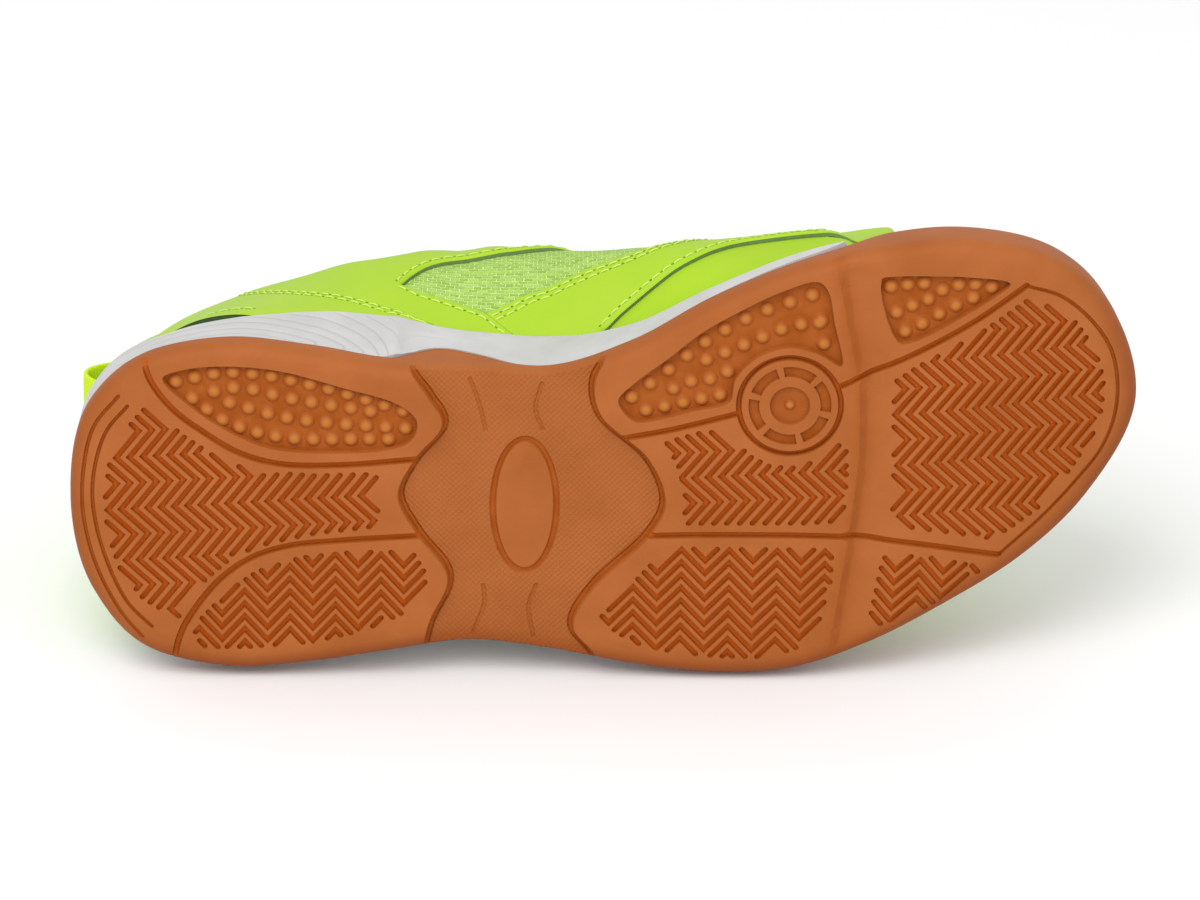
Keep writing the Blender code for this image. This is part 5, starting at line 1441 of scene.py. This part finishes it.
def crossing(start, end, slope, over):
    """A flat cord from one eyelet to the other, dipping into the holes at both ends."""
    t = 0.5 - 0.5 * np.cos(np.linspace(0.0, math.pi, LACE_STEPS + 1))
    dip = ease(LACE_DIP, 0.0, t) + ease(1 - LACE_DIP, 1.0, t)
    line = 0.0
    for spot, share in ((start, 1 - t), (end, t)):
        sunk, raised = eyelet(*spot, LACE_SUNK), eyelet(*spot, LACE_THICK / 2 + LACE_STAND)
        line = line + (sunk * dip[:, None] + raised * (1 - dip)[:, None]) * share[:, None]
    line[:, 2] += LACE_CROWN * 4 * t * (1 - t) + over * np.sin(math.pi * t) ** 4
    run = unit(np.gradient(line, axis=0))
    side = unit(slope - run * (run @ slope)[:, None])
    top = np.cross(side, run)
    narrow = 1 - LACE_NARROW * dip
    section = soft_section(LACE_WIDTH, LACE_THICK, (0.35, 0.6), LACE_SIDES)
    return np.stack([line + side * (wide * narrow)[:, None] + top * thick for wide, thick in section], axis=1)


pairs = [((share, 1.0), (share, -1.0)) for share in LACE_SHARES]
top_pair, low_pair = [sum(eyelet(*spot, 0.0) for spot in pair) for pair in (pairs[0], pairs[-1])]
instep = unit(top_pair - low_pair)
runs = [crossing(*pairs[-1], instep, 0.0)]
for above_pair, below_pair in zip(pairs[:-1], pairs[1:]):
    runs.append(crossing(below_pair[0], above_pair[1], instep, LACE_OVER))
    runs.append(crossing(below_pair[1], above_pair[0], instep, -LACE_OVER))
lace_faces = []
for k, cord in enumerate(runs):
    lace_faces += capped(len(cord), LACE_SIDES, k * len(cord) * LACE_SIDES)
lace = piece("lace_cord", np.vstack(runs).reshape(-1, 3), lace_faces, 60.0)
webbing = Finish("neon_webbing", (0.50, 0.70, 0.02), 0.7, 0.3)
weave = webbing.node("TexChecker", {"Vector": webbing.turned(45.0), "Scale": 1.4,
                                    "Color1": (0.62, 0.80, 0.015), "Color2": (0.54, 0.72, 0.010)})
webbing.join(weave.outputs["Color"])
webbing.bump(weave.outputs["Fac"], 0.5, 0.0002)
lace.data.materials.append(webbing.material)
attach(lace, "root")
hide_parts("lace")


# Eyelets: five holes punched in each quarter, with the coated synthetic rolled over their rims. A thin
# disc of the dark lining cloth stands for the shade in each hole.
EYELET_RING, EYELET_ROLL, EYELET_FLAT, EYELET_STAND = 2.5, 0.55, 0.7, 0.15
EYELET_SIDES, ROLL_SIDES = 20, 8
HOLE_TOP, HOLE_FLOOR = 0.02, -0.4
ring_points, ring_faces, hole_points, hole_faces = [], [], [], []
for share in LACE_SHARES:
    for sign in (1.0, -1.0):
        centre = eyelet(share, sign, GAP + OVERLAY + EYELET_STAND)
        up_way = out_of_last(np.array(sign * share), np.array(LACE_HEIGHT))
        first_way = unit(np.cross(up_way, up))
        second_way = np.cross(up_way, first_way)
        ring_faces += bands(EYELET_SIDES, ROLL_SIDES, len(ring_points), closed=True)
        for spoke in wheel(0.0, first_way, second_way, EYELET_SIDES):
            ring_points.extend(wheel(centre + spoke * EYELET_RING, spoke * EYELET_ROLL,
                                     up_way * EYELET_ROLL * EYELET_FLAT, ROLL_SIDES))
        hole_faces += capped(2, EYELET_SIDES, len(hole_points))
        for rise in (HOLE_TOP, HOLE_FLOOR):
            level = centre + up_way * rise
            hole_points.extend(wheel(level, first_way * EYELET_RING, second_way * EYELET_RING, EYELET_SIDES))
eyelets = piece("eyelet_rims", np.array(ring_points), ring_faces, 60.0)
eyelets.data.materials.append(synthetic.material)
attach(eyelets, "root")
eyelet_holes = piece("eyelet_holes", np.array(hole_points), hole_faces, 60.0)
eyelet_holes.data.materials.append(lining.material)
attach(eyelet_holes, "root")


# Pull loop: a band of neon webbing, folded and sewn to the back of the collar so that a finger
# fits through it.
LOOP_WIDTH, LOOP_THICK, LOOP_STAND, LOOP_SHIFT = 11.4, 1.2, 6.0, -0.6
LOOP_SPAN = (0.60, 0.66, 0.93, 0.99)
LOOP_ROWS, LOOP_SIDES = 49, 20
loop_heights = np.linspace(LOOP_SPAN[0], LOOP_SPAN[3], LOOP_ROWS)
raised = np.clip((loop_heights - LOOP_SPAN[1]) / (LOOP_SPAN[2] - LOOP_SPAN[1]), 0.0, 1.0)
stand = np.sin(np.pi * raised) ** 0.8
off = out_of_last(np.zeros(LOOP_ROWS), loop_heights)
off[:, 1] = 0.0
mid_stand = GAP + OVERLAY + GAP + LOOP_STAND * stand + LOOP_THICK / 2
mid = on_last(np.zeros(LOOP_ROWS), loop_heights) + off * mid_stand[:, None]
section = soft_section(LOOP_WIDTH, LOOP_THICK, (0.25, 0.5), LOOP_SIDES)
loop_rows = [mid + np.array([0.0, wide + LOOP_SHIFT, 0.0]) + off * thick for wide, thick in section]
loop_points = np.stack(loop_rows, axis=1).reshape(-1, 3)
pull_loop = piece("pull_loop_band", loop_points, capped(LOOP_ROWS, LOOP_SIDES), 60.0)
pull_loop.data.materials.append(webbing.material)
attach(pull_loop, "root")
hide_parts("pull_loop")


# Studio: a pale floor under the shoe, one large soft light over the camera and an even fill.
# The camera looks at the tread from a little above the floor, with a slight roll.
VIEW_TILT = math.radians(20.9)
VIEW_DISTANCE = 1300.0
VIEW_CENTRE = (107.1, -12.9, 0.0)
VIEW_SCALE = 4.93
VIEW_ROLL = 0.01386
IMAGE_WIDTH = 1200.0
look = np.array([0.0, math.sin(VIEW_TILT), math.cos(VIEW_TILT)])
above = np.array([0.0, -math.cos(VIEW_TILT), math.sin(VIEW_TILT)])
right = np.array([1.0, 0.0, 0.0])
rolled_right = right * math.cos(VIEW_ROLL) + above * math.sin(VIEW_ROLL)
rolled_up = above * math.cos(VIEW_ROLL) - right * math.sin(VIEW_ROLL)
eye = in_row(np.array(VIEW_CENTRE) - look * VIEW_DISTANCE)
turn = Matrix((rolled_right @ SHOE_AXES, rolled_up @ SHOE_AXES, -look @ SHOE_AXES)).transposed()
camera = bpy.data.objects.new("camera", bpy.data.cameras.new("camera"))
bpy.context.scene.collection.objects.link(camera)
camera.matrix_world = Matrix.Translation(eye) @ turn.to_4x4()
camera.data.sensor_width = 36.0
camera.data.lens = 36.0 * VIEW_SCALE * VIEW_DISTANCE / IMAGE_WIDTH
camera.data.clip_end = 10.0
bpy.context.scene.camera = camera
bpy.context.scene.view_settings.view_transform = "Standard"

bpy.ops.mesh.primitive_plane_add(size=12.0, location=(0.0, 0.0, 0.0))
floor = bpy.context.object
floor.name = "floor"
pale = Finish("pale_floor", (0.88, 0.88, 0.88), 0.7, 0.2)
floor.data.materials.append(pale.material)

world = bpy.data.worlds.new("studio")
bpy.context.scene.world = world
world.use_nodes = True
world.node_tree.nodes["Background"].inputs["Color"].default_value = (1.0, 1.0, 1.0, 1.0)
world.node_tree.nodes["Background"].inputs["Strength"].default_value = 0.85


def soft_light(name, place, size, power):
    lamp = bpy.data.lights.new(name, "AREA")
    lamp.size = size
    lamp.energy = power
    holder = bpy.data.objects.new(name, lamp)
    bpy.context.scene.collection.objects.link(holder)
    holder.location = place
    holder.rotation_mode = "QUATERNION"
    holder.rotation_quaternion = (Vector((0.0, 0.0, 0.05)) - Vector(place)).to_track_quat("-Z", "Y")


soft_light("key_light", (-0.30, -0.70, 1.15), 0.8, 9.5)
soft_light("fill_light", (0.5, -1.1, 0.6), 0.9, 2.0)
